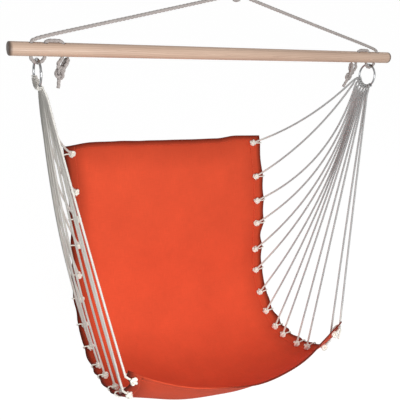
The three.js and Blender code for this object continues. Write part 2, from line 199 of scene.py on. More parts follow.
class CordSettings(bpy.types.PropertyGroup):
    """The lacing cords."""

    diameter: metres("Diameter", "Thickness of a cord", 0.0059)
    lay: metres("Lay", "Length of one turn of a strand", 0.0155)
    step: metres("Step", "Length between two rings of the mesh", 0.0011)
    tail: metres("Tail", "Length left over after each knot", 0.003)
    # The cord's colour is painted shade and its lit colour painted light, shaded and lit copies of one cream
    # yarn that the cords' painted light mixes
    colour: paint("Colour", "Colour of the yarn", (0.53, 0.53, 0.525))
    lit_colour: paint("Knot colour", "Colour where the yarn is kept clean by its knots", (1.0, 0.955, 0.86))


class CanvasSettings(bpy.types.PropertyGroup):
    """The canvas seat."""

    width: metres("Width", "Width of the seat, hems included", 2 * HEM_EDGE_X)
    depth: metres("Depth", "Depth that the side view's shares follow", 0.52)
    height: metres("Height", "Height that the side view's shares follow", 0.5)
    top_drop: metres("Top drop", "Top corners below the bar's axis", 0.306)
    thickness: metres("Thickness", "Thickness of one layer", 0.0012)
    hem_thickness: metres("Hem thickness", "Thickness of the folded hems", 0.003)
    side_hem: metres("Side hem", "Width of the laced hems", 0.034)
    end_hem: metres("End hem", "Width of the top and front hems", 0.015)
    eyelet_inset: metres("Eyelet inset", "Eyelets in from the edge", 0.02)
    stitch: metres("Stitch", "Length of one stitch", 0.0034)
    grid: metres("Grid", "Size of the mesh squares", 0.006)
    colour: paint("Colour", "Colour of the canvas", (0.81, 0.09, 0.035))
    hem_colour: paint("Hem colour", "Colour of the hems", (0.81, 0.09, 0.035))


class RingSettings(bpy.types.PropertyGroup):
    """The steel rings."""

    diameter: metres("Diameter", "Outer diameter", RING_SIZE.z)
    wire: metres("Wire", "Thickness of the wire", RING_SIZE.x)
    segments: IntProperty(
        name="Segments", description="Segments round the ring", default=96
    )
    colour: paint("Colour", "Colour of the steel", (0.33, 0.335, 0.34))


class StageSettings(bpy.types.PropertyGroup):
    """Floor, lamps and world."""

    floor_drop: metres("Floor", "Floor below the hook", 1.5)
    key: FloatProperty(
        name="Key lamp", description="Power of the main lamp", default=12.4, unit="POWER"
    )
    fill: FloatProperty(
        name="Fill lamp", description="Power of the lamp on the other side", default=5.0, unit="POWER"
    )
    sky: FloatProperty(
        name="Sky", description="Strength of the light from all round", default=0.46
    )
    floor_glow: FloatProperty(
        name="Floor glow", description="Light that the camera alone sees on the floor", default=0.8
    )
    floor_colour: paint("Floor colour", "Colour of the floor", (0.42, 0.42, 0.42))


SETTINGS = {
    "bar": BarSettings,
    "rope": RopeSettings,
    "cord": CordSettings,
    "canvas": CanvasSettings,
    "ring": RingSettings,
    "stage": StageSettings,
}


def settings(word):
    return getattr(bpy.context.scene, "hammock_" + word)


# Shader groups and materials

# Noise scales are in waves to the metre, the same all ways or by axis. A span is the part of
# a pattern's own range that counts.
NOISE_SPAN = (0.3, 0.7)

# Canvas: how far threads stand over each other, thick and thin threads, and faded patches
THREAD_OVER = 0.35
SLUB_SCALES = ((40, 1400, 1), (1400, 40, 1))
SLUB_SPAN = (0.6, 1.4)
SLUB_TINTS = ((0.92, 0.9, 0.9), (1.07, 1.1, 1.1))
FADE_SCALE = 7
FADE_TINTS = ((0.93, 0.93, 0.93), (1.06, 1.1, 1.12))
CANVAS_ROUGHNESS = (0.78, 0.9)

# The canvas's dark edges, all painted shade: where the front one fades towards the left and by
# how much, and how far a soft painted shade reaches in from every edge and from the left one and
# how dark each is. Then the painted dark line of shade along the edges: its raggedness and width
# in metres, its soft span as shares of that width, and its colour as a share of the hem's
FRONT_FADE_X = (-0.02, -0.16)
FRONT_FADE = (0, 0.02)
SHADE_REACH = (0.006, 0.08)
SHADE = (0.76, 1)
LEFT_SHADE_REACH = (0, 0.06)
LEFT_SHADE = (0.5, 1)
RAGGEDNESS = 0.004
EDGE_BAND = 0.015
EDGE_SPAN = (0.3, 1.2)
PAINTED_EDGE_SHADE = 0.3

# Yarn: its fibres, their fuzz and its grey patches, then how dark the grey is in plain yarn, in
# sewing thread and in yarn with painted light, and the sewing thread's colour over the hem's
FIBRE_SCALE = (260, 3800, 1)
FUZZ_SCALE = (900, 1500, 1)
FUZZ_SHARE = 0.5
PATCH_SCALE = (22, 60, 1)
FIBRE_SPAN = (0.35, 0.65)
STREAKS = (0, 0.55)
PATCHES = (0, 0.4)
YARN_ROUGHNESS = (0.8, 0.95)
YARN_SHADE = 0.72
THREAD_SHADE = 0.85
PAINTED_LIGHT_YARN_SHADE = 0.97
THREAD_TONE = 1.15

# Wood: how its year rings wander, its fine grain, its clouds, and its darker ends
WARP_SCALE = (2.2, 18, 18)
RING_STRETCH = (1.4, 60, 60)
RING_SCALE = 1.3
RING_DISTORTION = 3.2
FINE_SCALE = (28, 900, 900)
CLOUD_SCALE = (5, 30, 30)
RING_SHARE = 0.5
FINE_SHARE = 0.7
GRAIN_SPAN = (0.75, 1.6)
END_UNEVENNESS = 0.002
END_REACH = (0.0035, 0.0095)
END_DARKNESS = 0.22
WOOD_ROUGHNESS = (0.42, 0.6)

# Steel: its dull patches and its rubbed lines
DULL_SCALE = 90
DULL_SPAN = (0.42, 0.7)
DULL_DARKNESS = 0.35
RUB_SCALE = (2600, 300, 300)
STEEL_SPAN = (0.3, 0.75)
STEEL_ROUGHNESS = (0.16, 0.38)


def new_group(name, colours, numbers):
    """A shader group from a vector, colours and numbers to a surface, and its two ends' sockets."""
    group = bpy.data.node_groups.new(name, "ShaderNodeTree")
    sockets = [("Vector", "Vector"), *((words, "Color") for words in colours)]
    sockets.extend((words, "Float") for words in numbers)
    for words, kind in sockets:
        socket = group.interface.new_socket(words, in_out="INPUT", socket_type="NodeSocket" + kind)
        if words in numbers:
            socket.default_value = numbers[words]
    for words, kind in (("Colour", "Color"), ("Height", "Float"), ("Roughness", "Float")):
        group.interface.new_socket(words, in_out="OUTPUT", socket_type="NodeSocket" + kind)
    given = group.nodes.new("NodeGroupInput")
    return group, given.outputs, group.nodes.new("NodeGroupOutput").inputs


def math_node(tree, operation, first, second=0):
    node = tree.nodes.new("ShaderNodeMath")
    node.operation = operation
    for socket, value in zip(node.inputs, (first, second)):
        if isinstance(value, bpy.types.NodeSocket):
            tree.links.new(value, socket)
        else:
            socket.default_value = value
    return node.outputs[0]


def noise_node(tree, vector, scale, detail, roughness=0.5):
    """Noise whose scale is one number or one for each axis."""
    node = tree.nodes.new("ShaderNodeTexNoise")
    by_axis = isinstance(scale, tuple)
    tree.links.new(scaled(tree, vector, scale) if by_axis else vector, node.inputs["Vector"])
    node.inputs["Scale"].default_value = 1 if by_axis else scale
    node.inputs["Detail"].default_value = detail
    node.inputs["Roughness"].default_value = roughness
    return node.outputs["Fac"]


def mix_node(tree, factor, first, second, blend="MIX"):
    node = tree.nodes.new("ShaderNodeMix")
    node.data_type = "RGBA"
    node.blend_type = blend
    for socket, value in ((node.inputs[0], factor), (node.inputs[6], first), (node.inputs[7], second)):
        if isinstance(value, bpy.types.NodeSocket):
            tree.links.new(value, socket)
        elif isinstance(value, (int, float)):
            socket.default_value = value
        else:
            socket.default_value = (*value, 1)
    return node.outputs[2]


def scaled(tree, vector, scale):
    node = tree.nodes.new("ShaderNodeMapping")
    tree.links.new(vector, node.inputs["Vector"])
    node.inputs["Scale"].default_value = scale
    return node.outputs[0]


def times(tree, vector, share):
    node = tree.nodes.new("ShaderNodeVectorMath")
    node.operation = "SCALE"
    tree.links.new(vector, node.inputs[0])
    tree.links.new(share, node.inputs["Scale"])
    return node.outputs[0]


def separated(tree, vector):
    node = tree.nodes.new("ShaderNodeSeparateXYZ")
    tree.links.new(vector, node.inputs[0])
    return node.outputs


def ranged(tree, value, span, to=(0, 1)):
    """A value's span stretched to another, and held at its ends."""
    node = tree.nodes.new("ShaderNodeMapRange")
    tree.links.new(value, node.inputs["Value"])
    for words, number in zip(("From Min", "From Max", "To Min", "To Max"), (*span, *to)):
        node.inputs[words].default_value = number
    return node.outputs[0]


def make_weave_group():
    """Plain weave on the cloth's UV map in metres, with painted shade along its edges save the front left.
    """
    group, given, out = new_group(
        "plain_weave", ("Colour", "Edge Colour"),
        {"Thread": 0.0009, "Half Width": 0.3, "Length": 0.9, "Edge Band": 0.01},
    )
    x, run = separated(group, given["Vector"])[:2]
    half_turn = math_node(group, "DIVIDE", math.pi, given["Thread"])
    across, along = (
        math_node(group, "SINE", math_node(group, "MULTIPLY", place, half_turn)) for place in (x, run)
    )
    crossing = math_node(group, "MULTIPLY", across, along)
    over = math_node(group, "MULTIPLY", crossing, THREAD_OVER)
    ridge = math_node(group, "ADD", math_node(group, "ABSOLUTE", crossing), over)
    slub = math_node(group, "ADD", *(noise_node(group, given["Vector"], scale, 2) for scale in SLUB_SCALES))
    group.links.new(math_node(group, "ADD", ridge, slub), out["Height"])
    cloud = noise_node(group, given["Vector"], FADE_SCALE, 4, 0.6)
    faded = mix_node(group, ranged(group, cloud, NOISE_SPAN), *FADE_TINTS)
    threads = mix_node(group, ranged(group, slub, SLUB_SPAN), *SLUB_TINTS)
    # Painted shade: darker in from every edge, more from the left one, and a dark line along them
    side_gap = math_node(group, "SUBTRACT", given["Half Width"], math_node(group, "ABSOLUTE", x))
    front_gap = math_node(group, "SUBTRACT", given["Length"], run)
    left_front = ranged(group, x, FRONT_FADE_X, FRONT_FADE)
    gap = math_node(
        group, "MINIMUM", math_node(group, "MINIMUM", side_gap, run),
        math_node(group, "ADD", front_gap, left_front),
    )
    from_left = math_node(group, "ADD", x, given["Half Width"])
    shade = math_node(
        group, "MULTIPLY", ranged(group, gap, SHADE_REACH, SHADE),
        ranged(group, from_left, LEFT_SHADE_REACH, LEFT_SHADE),
    )
    # The painted shade's dark line along the edges, in the edge colour
    ragged = math_node(group, "ADD", gap, math_node(group, "MULTIPLY", cloud, RAGGEDNESS))
    inside = ranged(group, math_node(group, "DIVIDE", ragged, given["Edge Band"]), EDGE_SPAN)
    plain = times(group, mix_node(group, inside, given["Edge Colour"], given["Colour"]), shade)
    tinted = mix_node(group, 1.0, mix_node(group, 1.0, plain, faded, "MULTIPLY"), threads, "MULTIPLY")
    group.links.new(tinted, out["Colour"])
    group.links.new(ranged(group, cloud, NOISE_SPAN, CANVAS_ROUGHNESS), out["Roughness"])


def make_fibre_group():
    """Loose cotton fibres on a UV map in metres, with u along the cord."""
    group, given, out = new_group("cotton_fibre", ("Colour",), {"Shade": YARN_SHADE, "Fineness": 1.0})
    vector = times(group, given["Vector"], given["Fineness"])
    fibres = noise_node(group, vector, FIBRE_SCALE, 3)
    fuzz = noise_node(group, vector, FUZZ_SCALE, 2)
    height = math_node(group, "ADD", fibres, math_node(group, "MULTIPLY", fuzz, FUZZ_SHARE))
    group.links.new(height, out["Height"])
    patches = noise_node(group, given["Vector"], PATCH_SCALE, 3)
    shade = times(group, given["Colour"], given["Shade"])
    streaked = mix_node(group, ranged(group, fibres, FIBRE_SPAN, STREAKS), given["Colour"], shade)
    aged = mix_node(group, ranged(group, patches, FIBRE_SPAN, PATCHES), streaked, shade)
    group.links.new(aged, out["Colour"])
    group.links.new(ranged(group, fuzz, NOISE_SPAN, YARN_ROUGHNESS), out["Roughness"])


def material_with(name, group_name, values, bump, uv=True, distance=0.0004):
    """The shader of a material whose colour, roughness and bump come from a shader group."""
    material = bpy.data.materials.new(name)
    material.use_nodes = True
    tree = material.node_tree
    shader = tree.nodes["Principled BSDF"]
    coords = tree.nodes.new("ShaderNodeTexCoord")
    group = tree.nodes.new("ShaderNodeGroup")
    group.node_tree = bpy.data.node_groups[group_name]
    tree.links.new(coords.outputs["UV" if uv else "Object"], group.inputs["Vector"])
    for words, value in values.items():
        group.inputs[words].default_value = value if isinstance(value, float) else (*value, 1)
    tree.links.new(group.outputs["Colour"], shader.inputs["Base Color"])
    tree.links.new(group.outputs["Roughness"], shader.inputs["Roughness"])
    bumped = tree.nodes.new("ShaderNodeBump")
    bumped.inputs["Strength"].default_value = bump
    bumped.inputs["Distance"].default_value = distance
    tree.links.new(group.outputs["Height"], bumped.inputs["Height"])
    tree.links.new(bumped.outputs["Normal"], shader.inputs["Normal"])
    return shader


def darker(colour, share):
    return tuple(channel * share for channel in colour)


def make_canvas_material(name, colour):
    canvas = settings("canvas")
    # The edge colour is the painted shade of the dark line along the canvas's edges
    values = {
        "Colour": tuple(colour), "Edge Colour": darker(canvas.hem_colour, PAINTED_EDGE_SHADE),
        "Half Width": canvas.width / 2, "Length": SeatSurface().length, "Edge Band": EDGE_BAND,
    }
    shader = material_with(name, "plain_weave", values, bump=0.35)
    shader.inputs["Sheen Weight"].default_value = 0.03
    shader.inputs["Sheen Roughness"].default_value = 0.5
    shader.inputs["Specular IOR Level"].default_value = 0.12


def make_yarn_material(name, colour, fineness, shade=YARN_SHADE):
    values = {"Colour": tuple(colour), "Shade": shade, "Fineness": fineness}
    shader = material_with(name, "cotton_fibre", values, bump=0.55)
    shader.inputs["Sheen Weight"].default_value = 0.15
    shader.inputs["Sheen Roughness"].default_value = 0.6
    shader.inputs["Specular IOR Level"].default_value = 0.2


def make_cord_material():
    """Yarn with painted light, paler and less streaked where the mesh's own attribute says it is lit."""
    cord = settings("cord")
    make_yarn_material("cord_yarn", cord.colour, 1.0)
    tree = bpy.data.materials["cord_yarn"].node_tree
    clean = tree.nodes.new("ShaderNodeAttribute")
    clean.attribute_name = PAINTED_LIGHT
    share = clean.outputs["Fac"]
    group = next(node for node in tree.nodes if node.type == "GROUP")
    colour = mix_node(tree, share, tuple(cord.colour), tuple(cord.lit_colour))
    tree.links.new(colour, group.inputs["Colour"])
    shade = ranged(tree, share, (0, 1), (YARN_SHADE, PAINTED_LIGHT_YARN_SHADE))
    tree.links.new(shade, group.inputs["Shade"])


def make_wood_group():
    """Wood grain along X on Object coordinates, darker at the bar's ends."""
    group, given, out = new_group("wood_grain", ("Light", "Dark", "End Grain"), {"Half Length": 0.5})
    shifted = group.nodes.new("ShaderNodeVectorMath")
    shifted.operation = "MULTIPLY_ADD"
    group.links.new(given["Vector"], shifted.inputs[0])
    shifted.inputs[1].default_value = RING_STRETCH
    group.links.new(noise_node(group, given["Vector"], WARP_SCALE, 3), shifted.inputs[2])
    rings = group.nodes.new("ShaderNodeTexWave")
    rings.wave_type = "RINGS"
    rings.rings_direction = "X"
    rings.inputs["Scale"].default_value = RING_SCALE
    rings.inputs["Distortion"].default_value = RING_DISTORTION
    rings.inputs["Detail"].default_value = 3
    group.links.new(shifted.outputs[0], rings.inputs["Vector"])
    fine = noise_node(group, given["Vector"], FINE_SCALE, 3)
    cloud = noise_node(group, given["Vector"], CLOUD_SCALE, 2)
    year_rings = math_node(group, "MULTIPLY", rings.outputs["Fac"], RING_SHARE)
    streaked = math_node(group, "ADD", year_rings, math_node(group, "MULTIPLY", fine, FINE_SHARE))
    grain = ranged(group, math_node(group, "ADD", streaked, cloud), GRAIN_SPAN)
    long_grain = mix_node(group, grain, given["Light"], given["Dark"])
    # Darker towards each end of the bar, over its end face, its rounding and a little of its side
    x = separated(group, given["Vector"])[0]
    to_end = math_node(group, "SUBTRACT", given["Half Length"], math_node(group, "ABSOLUTE", x))
    uneven = math_node(group, "ADD", to_end, math_node(group, "MULTIPLY", cloud, END_UNEVENNESS))
    at_end = ranged(group, uneven, END_REACH, (1, 0))
    group.links.new(mix_node(group, at_end, long_grain, given["End Grain"]), out["Colour"])
    group.links.new(fine, out["Height"])
    group.links.new(ranged(group, fine, NOISE_SPAN, WOOD_ROUGHNESS), out["Roughness"])


def make_steel_group():
    """Bright plating with fine rubbed lines and a few duller patches."""
    group, given, out = new_group("plated_steel", ("Colour", "Dull"), {})
    patches = noise_node(group, given["Vector"], DULL_SCALE, 4, 0.6)
    dull = ranged(group, patches, DULL_SPAN)
    group.links.new(mix_node(group, dull, given["Colour"], given["Dull"]), out["Colour"])
    group.links.new(noise_node(group, given["Vector"], RUB_SCALE, 2), out["Height"])
    group.links.new(ranged(group, patches, STEEL_SPAN, STEEL_ROUGHNESS), out["Roughness"])


# Curves, rings of points and meshes

# Strands in a rope, and each one's radius as a share of the rope's
STRANDS = 3
STRAND_FULLNESS = 0.56


def smooth_curve(points, step):
    """Points about a step apart on a centripetal spline through the given points."""
    given = np.asarray(points, float)
    ends = np.vstack([2 * given[0] - given[1], given, 2 * given[-1] - given[-2]])
    found = []
    for index in range(len(given) - 1):
        before, start, end, after = ends[index : index + 4]
        gaps = [max(np.linalg.norm(b - a), 1e-9) ** 0.5
                for a, b in ((before, start), (start, end), (end, after))]
        out_of_start = ((start - before) / gaps[0] - (end - before) / (gaps[0] + gaps[1])
                        + (end - start) / gaps[1]) * gaps[1]
        into_end = ((end - start) / gaps[1] - (after - start) / (gaps[1] + gaps[2])
                    + (after - end) / gaps[2]) * gaps[1]
        share = np.linspace(0, 1, 33)[:-1, None]
        square = share**2
        cube = share**3
        found.append(
            (2 * cube - 3 * square + 1) * start + (cube - 2 * square + share) * out_of_start
            + (3 * square - 2 * cube) * end + (cube - square) * into_end
        )
    fine = np.vstack([*found, given[-1:]])
    return evenly(fine, step)


def lengths_along(points):
    return np.concatenate([[0], np.cumsum(np.linalg.norm(np.diff(points, axis=0), axis=1))])


def evenly(points, step):
    reach = lengths_along(points)
    count = max(int(round(reach[-1] / step)), 2)
    places = np.linspace(0, reach[-1], count + 1)
    return np.stack([np.interp(places, reach, points[:, axis]) for axis in range(3)], axis=1)


def unit(vectors):
    return vectors / np.maximum(np.linalg.norm(vectors, axis=-1, keepdims=True), 1e-12)


def frames_along(points):
    """Two side directions at every point, turning as little as they can."""
    tangents = unit(np.gradient(points, axis=0))
    first = np.cross(tangents[0], (0.31, 0.17, 0.93))
    side = first / np.linalg.norm(first)
    sides = [side]
    for index in range(1, len(points)):
        side = side - tangents[index] * np.dot(side, tangents[index])
        side = side / np.linalg.norm(side)
        sides.append(side)
    sides = np.array(sides)
    return sides, np.cross(tangents, sides)


def strand_profile(points):
    """Radius shares round a rope of round strands laid together."""
    centre = 1 - STRAND_FULLNESS
    lobe = 2 * math.pi / STRANDS
    shares = []
    for index in range(points):
        angle = (2 * math.pi * index / points + lobe / 2) % lobe - lobe / 2
        square = STRAND_FULLNESS**2 - (centre * math.sin(angle)) ** 2
        shares.append(centre * math.cos(angle) + math.sqrt(max(square, 0)))
    return np.array(shares)


def twisted_tube(points, radii, lay, sides=9, ends=(0.6, 0.6)):
    """Vertices, faces and UVs of a laid rope along the points, closed at both ends."""
    side, up = frames_along(points)
    reach = lengths_along(points)
    radii = np.broadcast_to(radii, len(points))
    turn = 2 * math.pi * reach / lay
    around = 2 * math.pi * np.arange(sides) / sides
    profile = strand_profile(sides)
    angle = around[None, :] + turn[:, None]
    spread = radii[:, None] * profile[None, :]
    rings = (points[:, None, :] + (spread * np.cos(angle))[..., None] * side[:, None, :]
             + (spread * np.sin(angle))[..., None] * up[:, None, :])
    count = len(points)
    vertices = [*rings.reshape(-1, 3)]
    faces = []
    uvs = []
    girth = float(np.mean(radii))
    for ring in range(count - 1):
        for index in range(sides):
            following = (index + 1) % sides
            faces.append((ring * sides + index, ring * sides + following,
                          (ring + 1) * sides + following, (ring + 1) * sides + index))
            low, high = (2 * math.pi * share / sides for share in (index, index + 1))
            uvs.extend([
                (reach[ring], (low + turn[ring]) * girth), (reach[ring], (high + turn[ring]) * girth),
                (reach[ring + 1], (high + turn[ring + 1]) * girth),
                (reach[ring + 1], (low + turn[ring + 1]) * girth),
            ])
    for ring, bulge, sign in ((0, ends[0], -1), (count - 1, ends[1], 1)):
        tangent = points[1] - points[0] if ring == 0 else points[-1] - points[-2]
        tip = points[ring] + sign * bulge * radii[ring] * tangent / np.linalg.norm(tangent)
        vertices.append(tip)
        for index in range(sides):
            corner = [ring * sides + index, ring * sides + (index + 1) % sides, len(vertices) - 1]
            faces.append(tuple(corner if sign > 0 else corner[::-1]))
            uvs.extend([(reach[ring], girth * number) for number in (0, 1, 2)])
    return vertices, faces, uvs


def joined(parts):
    """Several (vertices, faces, uvs) as one."""
    vertices, faces, uvs = [], [], []
    for more_vertices, more_faces, more_uvs in parts:
        offset = len(vertices)
        vertices.extend(more_vertices)
        faces.extend(tuple(index + offset for index in face) for face in more_faces)
        uvs.extend(more_uvs)
    return vertices, faces, uvs


def make_piece(name, parts, material, clean=None):
    """One smooth piece of parts, with the share of painted light at each of its vertices."""
    vertices, faces, uvs = joined(parts)
    mesh = bpy.data.meshes.new(name)
    mesh.from_pydata([tuple(vertex) for vertex in vertices], [], faces)
    layer = mesh.uv_layers.new(name="UVMap")
    layer.data.foreach_set("uv", np.array(uvs, np.float32).ravel())
    mesh.polygons.foreach_set("use_smooth", [True] * len(mesh.polygons))
    if clean is not None:
        mesh.attributes.new(PAINTED_LIGHT, "FLOAT", "POINT").data.foreach_set("value", clean)
    mesh.materials.append(bpy.data.materials[material])
    mesh.update()
    piece = bpy.data.objects.new(name, mesh)
    bpy.context.scene.collection.objects.link(piece)
    return piece


def settle(piece, body, slot, *nodes):
    """Puts a finished piece on its body and in place of its nodes; its slot is not used."""
    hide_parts(*nodes)
    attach(piece, body)
    return piece


def deselect():
    if bpy.context.object and bpy.context.object.mode != "OBJECT":
        bpy.ops.object.mode_set(mode="OBJECT")
    bpy.ops.object.select_all(action="DESELECT")


def select_only(piece):
    deselect()
    piece.select_set(True)
    bpy.context.view_layer.objects.active = piece


def apply_place(piece):
    select_only(piece)
    bpy.ops.object.transform_apply(location=True, rotation=True, scale=True)


def vec(*numbers):
    return np.array(numbers, float)


# The seat's surface


def spline_table(shares, canvas):
    points = [
        (0, depth * canvas.depth, BAR_Z - canvas.top_drop - drop * canvas.height)
        for depth, drop in shares
    ]
    return smooth_curve(points, canvas.height / 1500)


class SeatSurface:
    """The hanging canvas as a surface over across, -1 to 1, and along, 0 to 1."""

    def __init__(self):
        self.canvas = settings("canvas")
        self.edge = spline_table(EDGE_SHARES, self.canvas)
        self.middle = spline_table(MIDDLE_SHARES, self.canvas)
        self.half = self.canvas.width / 2
        self.length = lengths_along(self.edge)[-1]

    def on(self, curve, along):
        place = np.clip(along, 0, 1) * (len(curve) - 1)
        numbers = np.arange(len(curve))
        return np.stack([np.interp(place, numbers, curve[:, axis]) for axis in range(3)], -1)

    def plain(self, across, along):
        share = np.abs(across)[..., None] ** SAG_POWER
        point = self.on(self.middle, along) * (1 - share) + self.on(self.edge, along) * share
        point[..., 0] = across * self.half
        return point

    def scallop(self, across, along):
        """How far the edge draws in, at its eyelets and between them."""
        left, right = (np.interp(along, EYELET_SHARES, EYELET_DRAWS[word]) for word, side in SIDES)
        depth = np.where(across < 0, left, right)
        for gap, (before, after) in enumerate(zip(EYELET_SHARES[:-1], EYELET_SHARES[1:])):
            share = np.clip((along - before) / (after - before), 0, 1)
            most = np.where(across < 0, SCALLOPS["left"][gap], SCALLOPS["right"][gap])
            depth += most * np.sin(math.pi * share) ** 2
        edge_distance = (1 - np.abs(across)) * self.half
        return depth * np.exp(-edge_distance / DRAW_REACH)

    def top_wave(self, across, along):
        """How far the top edge waves up and back."""
        share = (across + 1) / 2 * (len(TOP_WAVE) - 1)
        low = np.clip(np.floor(share).astype(int), 0, len(TOP_WAVE) - 2)
        blend = np.clip(share - low, 0, 1)
        blend = blend * blend * (3 - 2 * blend)
        table = np.array(TOP_WAVE)
        height = table[low] * (1 - blend) + table[low + 1] * blend
        return height * np.exp(-((along * self.length / WAVE_REACH) ** 2))

    def inward(self, across, along):
        step = 0.002
        width = (self.plain(np.minimum(across + step, 1), along)
                 - self.plain(np.maximum(across - step, -1), along))
        length = (self.plain(across, np.minimum(along + step, 1))
                  - self.plain(across, np.maximum(along - step, 0)))
        return unit(np.cross(length, width))

    def point(self, across, along, offset=0.0):
        """A place on the cloth with its folds, moved towards the sitter by an offset."""
        across = np.asarray(across, float)
        along = np.asarray(along, float)
        place = self.plain(across, along)
        place[..., 0] -= np.sign(across) * self.scallop(across, along)
        place[..., 1:] += self.top_wave(across, along)[..., None] * WAVE_WAY
        return place + (self.folds(across, along) + offset)[..., None] * self.inward(across, along)

    def folds(self, across, along):
        """Height of the folds: ridges from the eyelets, slow waves, a drag across the bend."""
        edge_distance = (1 - np.abs(across)) * self.half
        run = along * self.length
        x = across * self.half
        height = np.zeros(np.broadcast(across, along).shape)
        for index, share in enumerate(EYELET_SHARES):
            away = run - share * self.length
            lean = RIDGE_LEAN * math.sin(2.3 * index + 0.6)
            width = RIDGE_WIDTH + RIDGE_SPREAD * edge_distance
            ridge = np.exp(-((away - lean * edge_distance) / width) ** 2)
            height += RIDGE_HEIGHT * ridge * np.exp(-edge_distance / RIDGE_REACH)
        for most, *sines in SLOW_WAVES:
            first, second = (np.sin(a * x + b * run + start) for a, b, start in sines)
            height += most * first * second
        bend = np.exp(-((along - DRAG_PLACE) / DRAG_SPAN) ** 2) * (1 - across**2)
        return height + DRAG_HEIGHT * bend * np.sin(DRAG_WAVE[0] * x + DRAG_WAVE[1] * run)

    def eyelet(self, index, side):
        """Centre of an eyelet, and its directions: out past the edge and towards the sitter."""
        across = side * (1 - self.canvas.eyelet_inset / self.half)
        along = EYELET_SHARES[index]
        centre = self.point(across, along)
        edge = self.point(np.array(side * 0.9999), along)
        out = edge - centre
        reach = np.linalg.norm(out)
        inward = self.inward(np.asarray(across), np.asarray(along))
        out = out / reach
        inward = unit(inward - out * np.dot(inward, out))
        return centre, out, inward, reach


def sheet_between(surface, across, along, tops, bottoms):
    """A closed sheet over a grid, with the offsets of its two faces given for each column."""
    columns, rows = len(across), len(along)
    grid_across, grid_along = np.meshgrid(across, along)
    top = surface.point(grid_across, grid_along, np.broadcast_to(tops, grid_across.shape))
    bottom = surface.point(grid_across, grid_along, np.broadcast_to(bottoms, grid_across.shape))
    vertices = [*top.reshape(-1, 3), *bottom.reshape(-1, 3)]
    count = rows * columns
    spot = np.stack([grid_across * surface.half, grid_along * surface.length], -1).reshape(-1, 2)
    faces = []

    def quad(*corners):
        faces.append(corners)

    for row in range(rows - 1):
        for column in range(columns - 1):
            a = row * columns + column
            b, c, d = a + columns, a + columns + 1, a + 1
            quad(a, b, c, d)
            quad(d + count, c + count, b + count, a + count)
    for row in range(rows - 1):
        a = row * columns
        b = a + columns
        quad(a, a + count, b + count, b)
        a, b = a + columns - 1, b + columns - 1
        quad(a, b, b + count, a + count)
    for column in range(columns - 1):
        a = column
        quad(a, a + 1, a + 1 + count, a + count)
        a += (rows - 1) * columns
        quad(a, a + count, a + 1 + count, a + 1)
    uvs = [spot[index % count] for face in faces for index in face]
    return vertices, faces, uvs


# Operators


class HAMMOCK_OT_materials(bpy.types.Operator):
    """Make the wood, yarn, canvas and steel"""

    bl_idname = "hammock.materials"
    bl_label = "Materials"

    def execute(self, context):
        make_weave_group()
        make_fibre_group()
        make_wood_group()
        make_steel_group()
        canvas = settings("canvas")
        make_canvas_material("orange_canvas", canvas.colour)
        make_canvas_material("hem_cloth", canvas.hem_colour)
        make_yarn_material("rope_yarn", settings("rope").colour, 0.6)
        make_cord_material()
        make_yarn_material("sewing_thread", darker(canvas.hem_colour, THREAD_TONE), 2.0, THREAD_SHADE)
        bar = settings("bar")
        material_with(
            "pale_wood", "wood_grain",
            {"Light": tuple(bar.light_wood), "Dark": tuple(bar.dark_wood),
             "End Grain": darker(bar.dark_wood, END_DARKNESS), "Half Length": BAR_SIZE.x / 2},
            uv=False, bump=0.15, distance=0.0003,
        )
        ring = settings("ring")
        values = {"Colour": tuple(ring.colour), "Dull": darker(ring.colour, DULL_DARKNESS)}
        shader = material_with("ring_wire", "plated_steel", values, uv=False, bump=0.08, distance=0.0001)
        shader.inputs["Metallic"].default_value = 1.0
        return {"FINISHED"}


# How long a rope hole's cutter is and at which levels it is divided, as shares of the bar's
# diameter, the last from the bar's axis, then the level beyond which it widens and by how much
CUTTER_LENGTH = 1.6
CUTTER_LEVELS = (-0.30, -0.44, 0.30, 0.44)
MOUTH_LEVEL = 0.43
MOUTH_SPREAD = (1.42, 1.42, 1)


def hole_places():
    """Distances of the three rope holes from the bar's middle, outer hole first."""
    low, high = LACING_BOX
    radius = ROPE_SIZE.y / 2
    outer = high.x - radius
    inner = low.x + radius
    middle = 2 * RING_PLACE.x - outer
    return outer, middle, inner


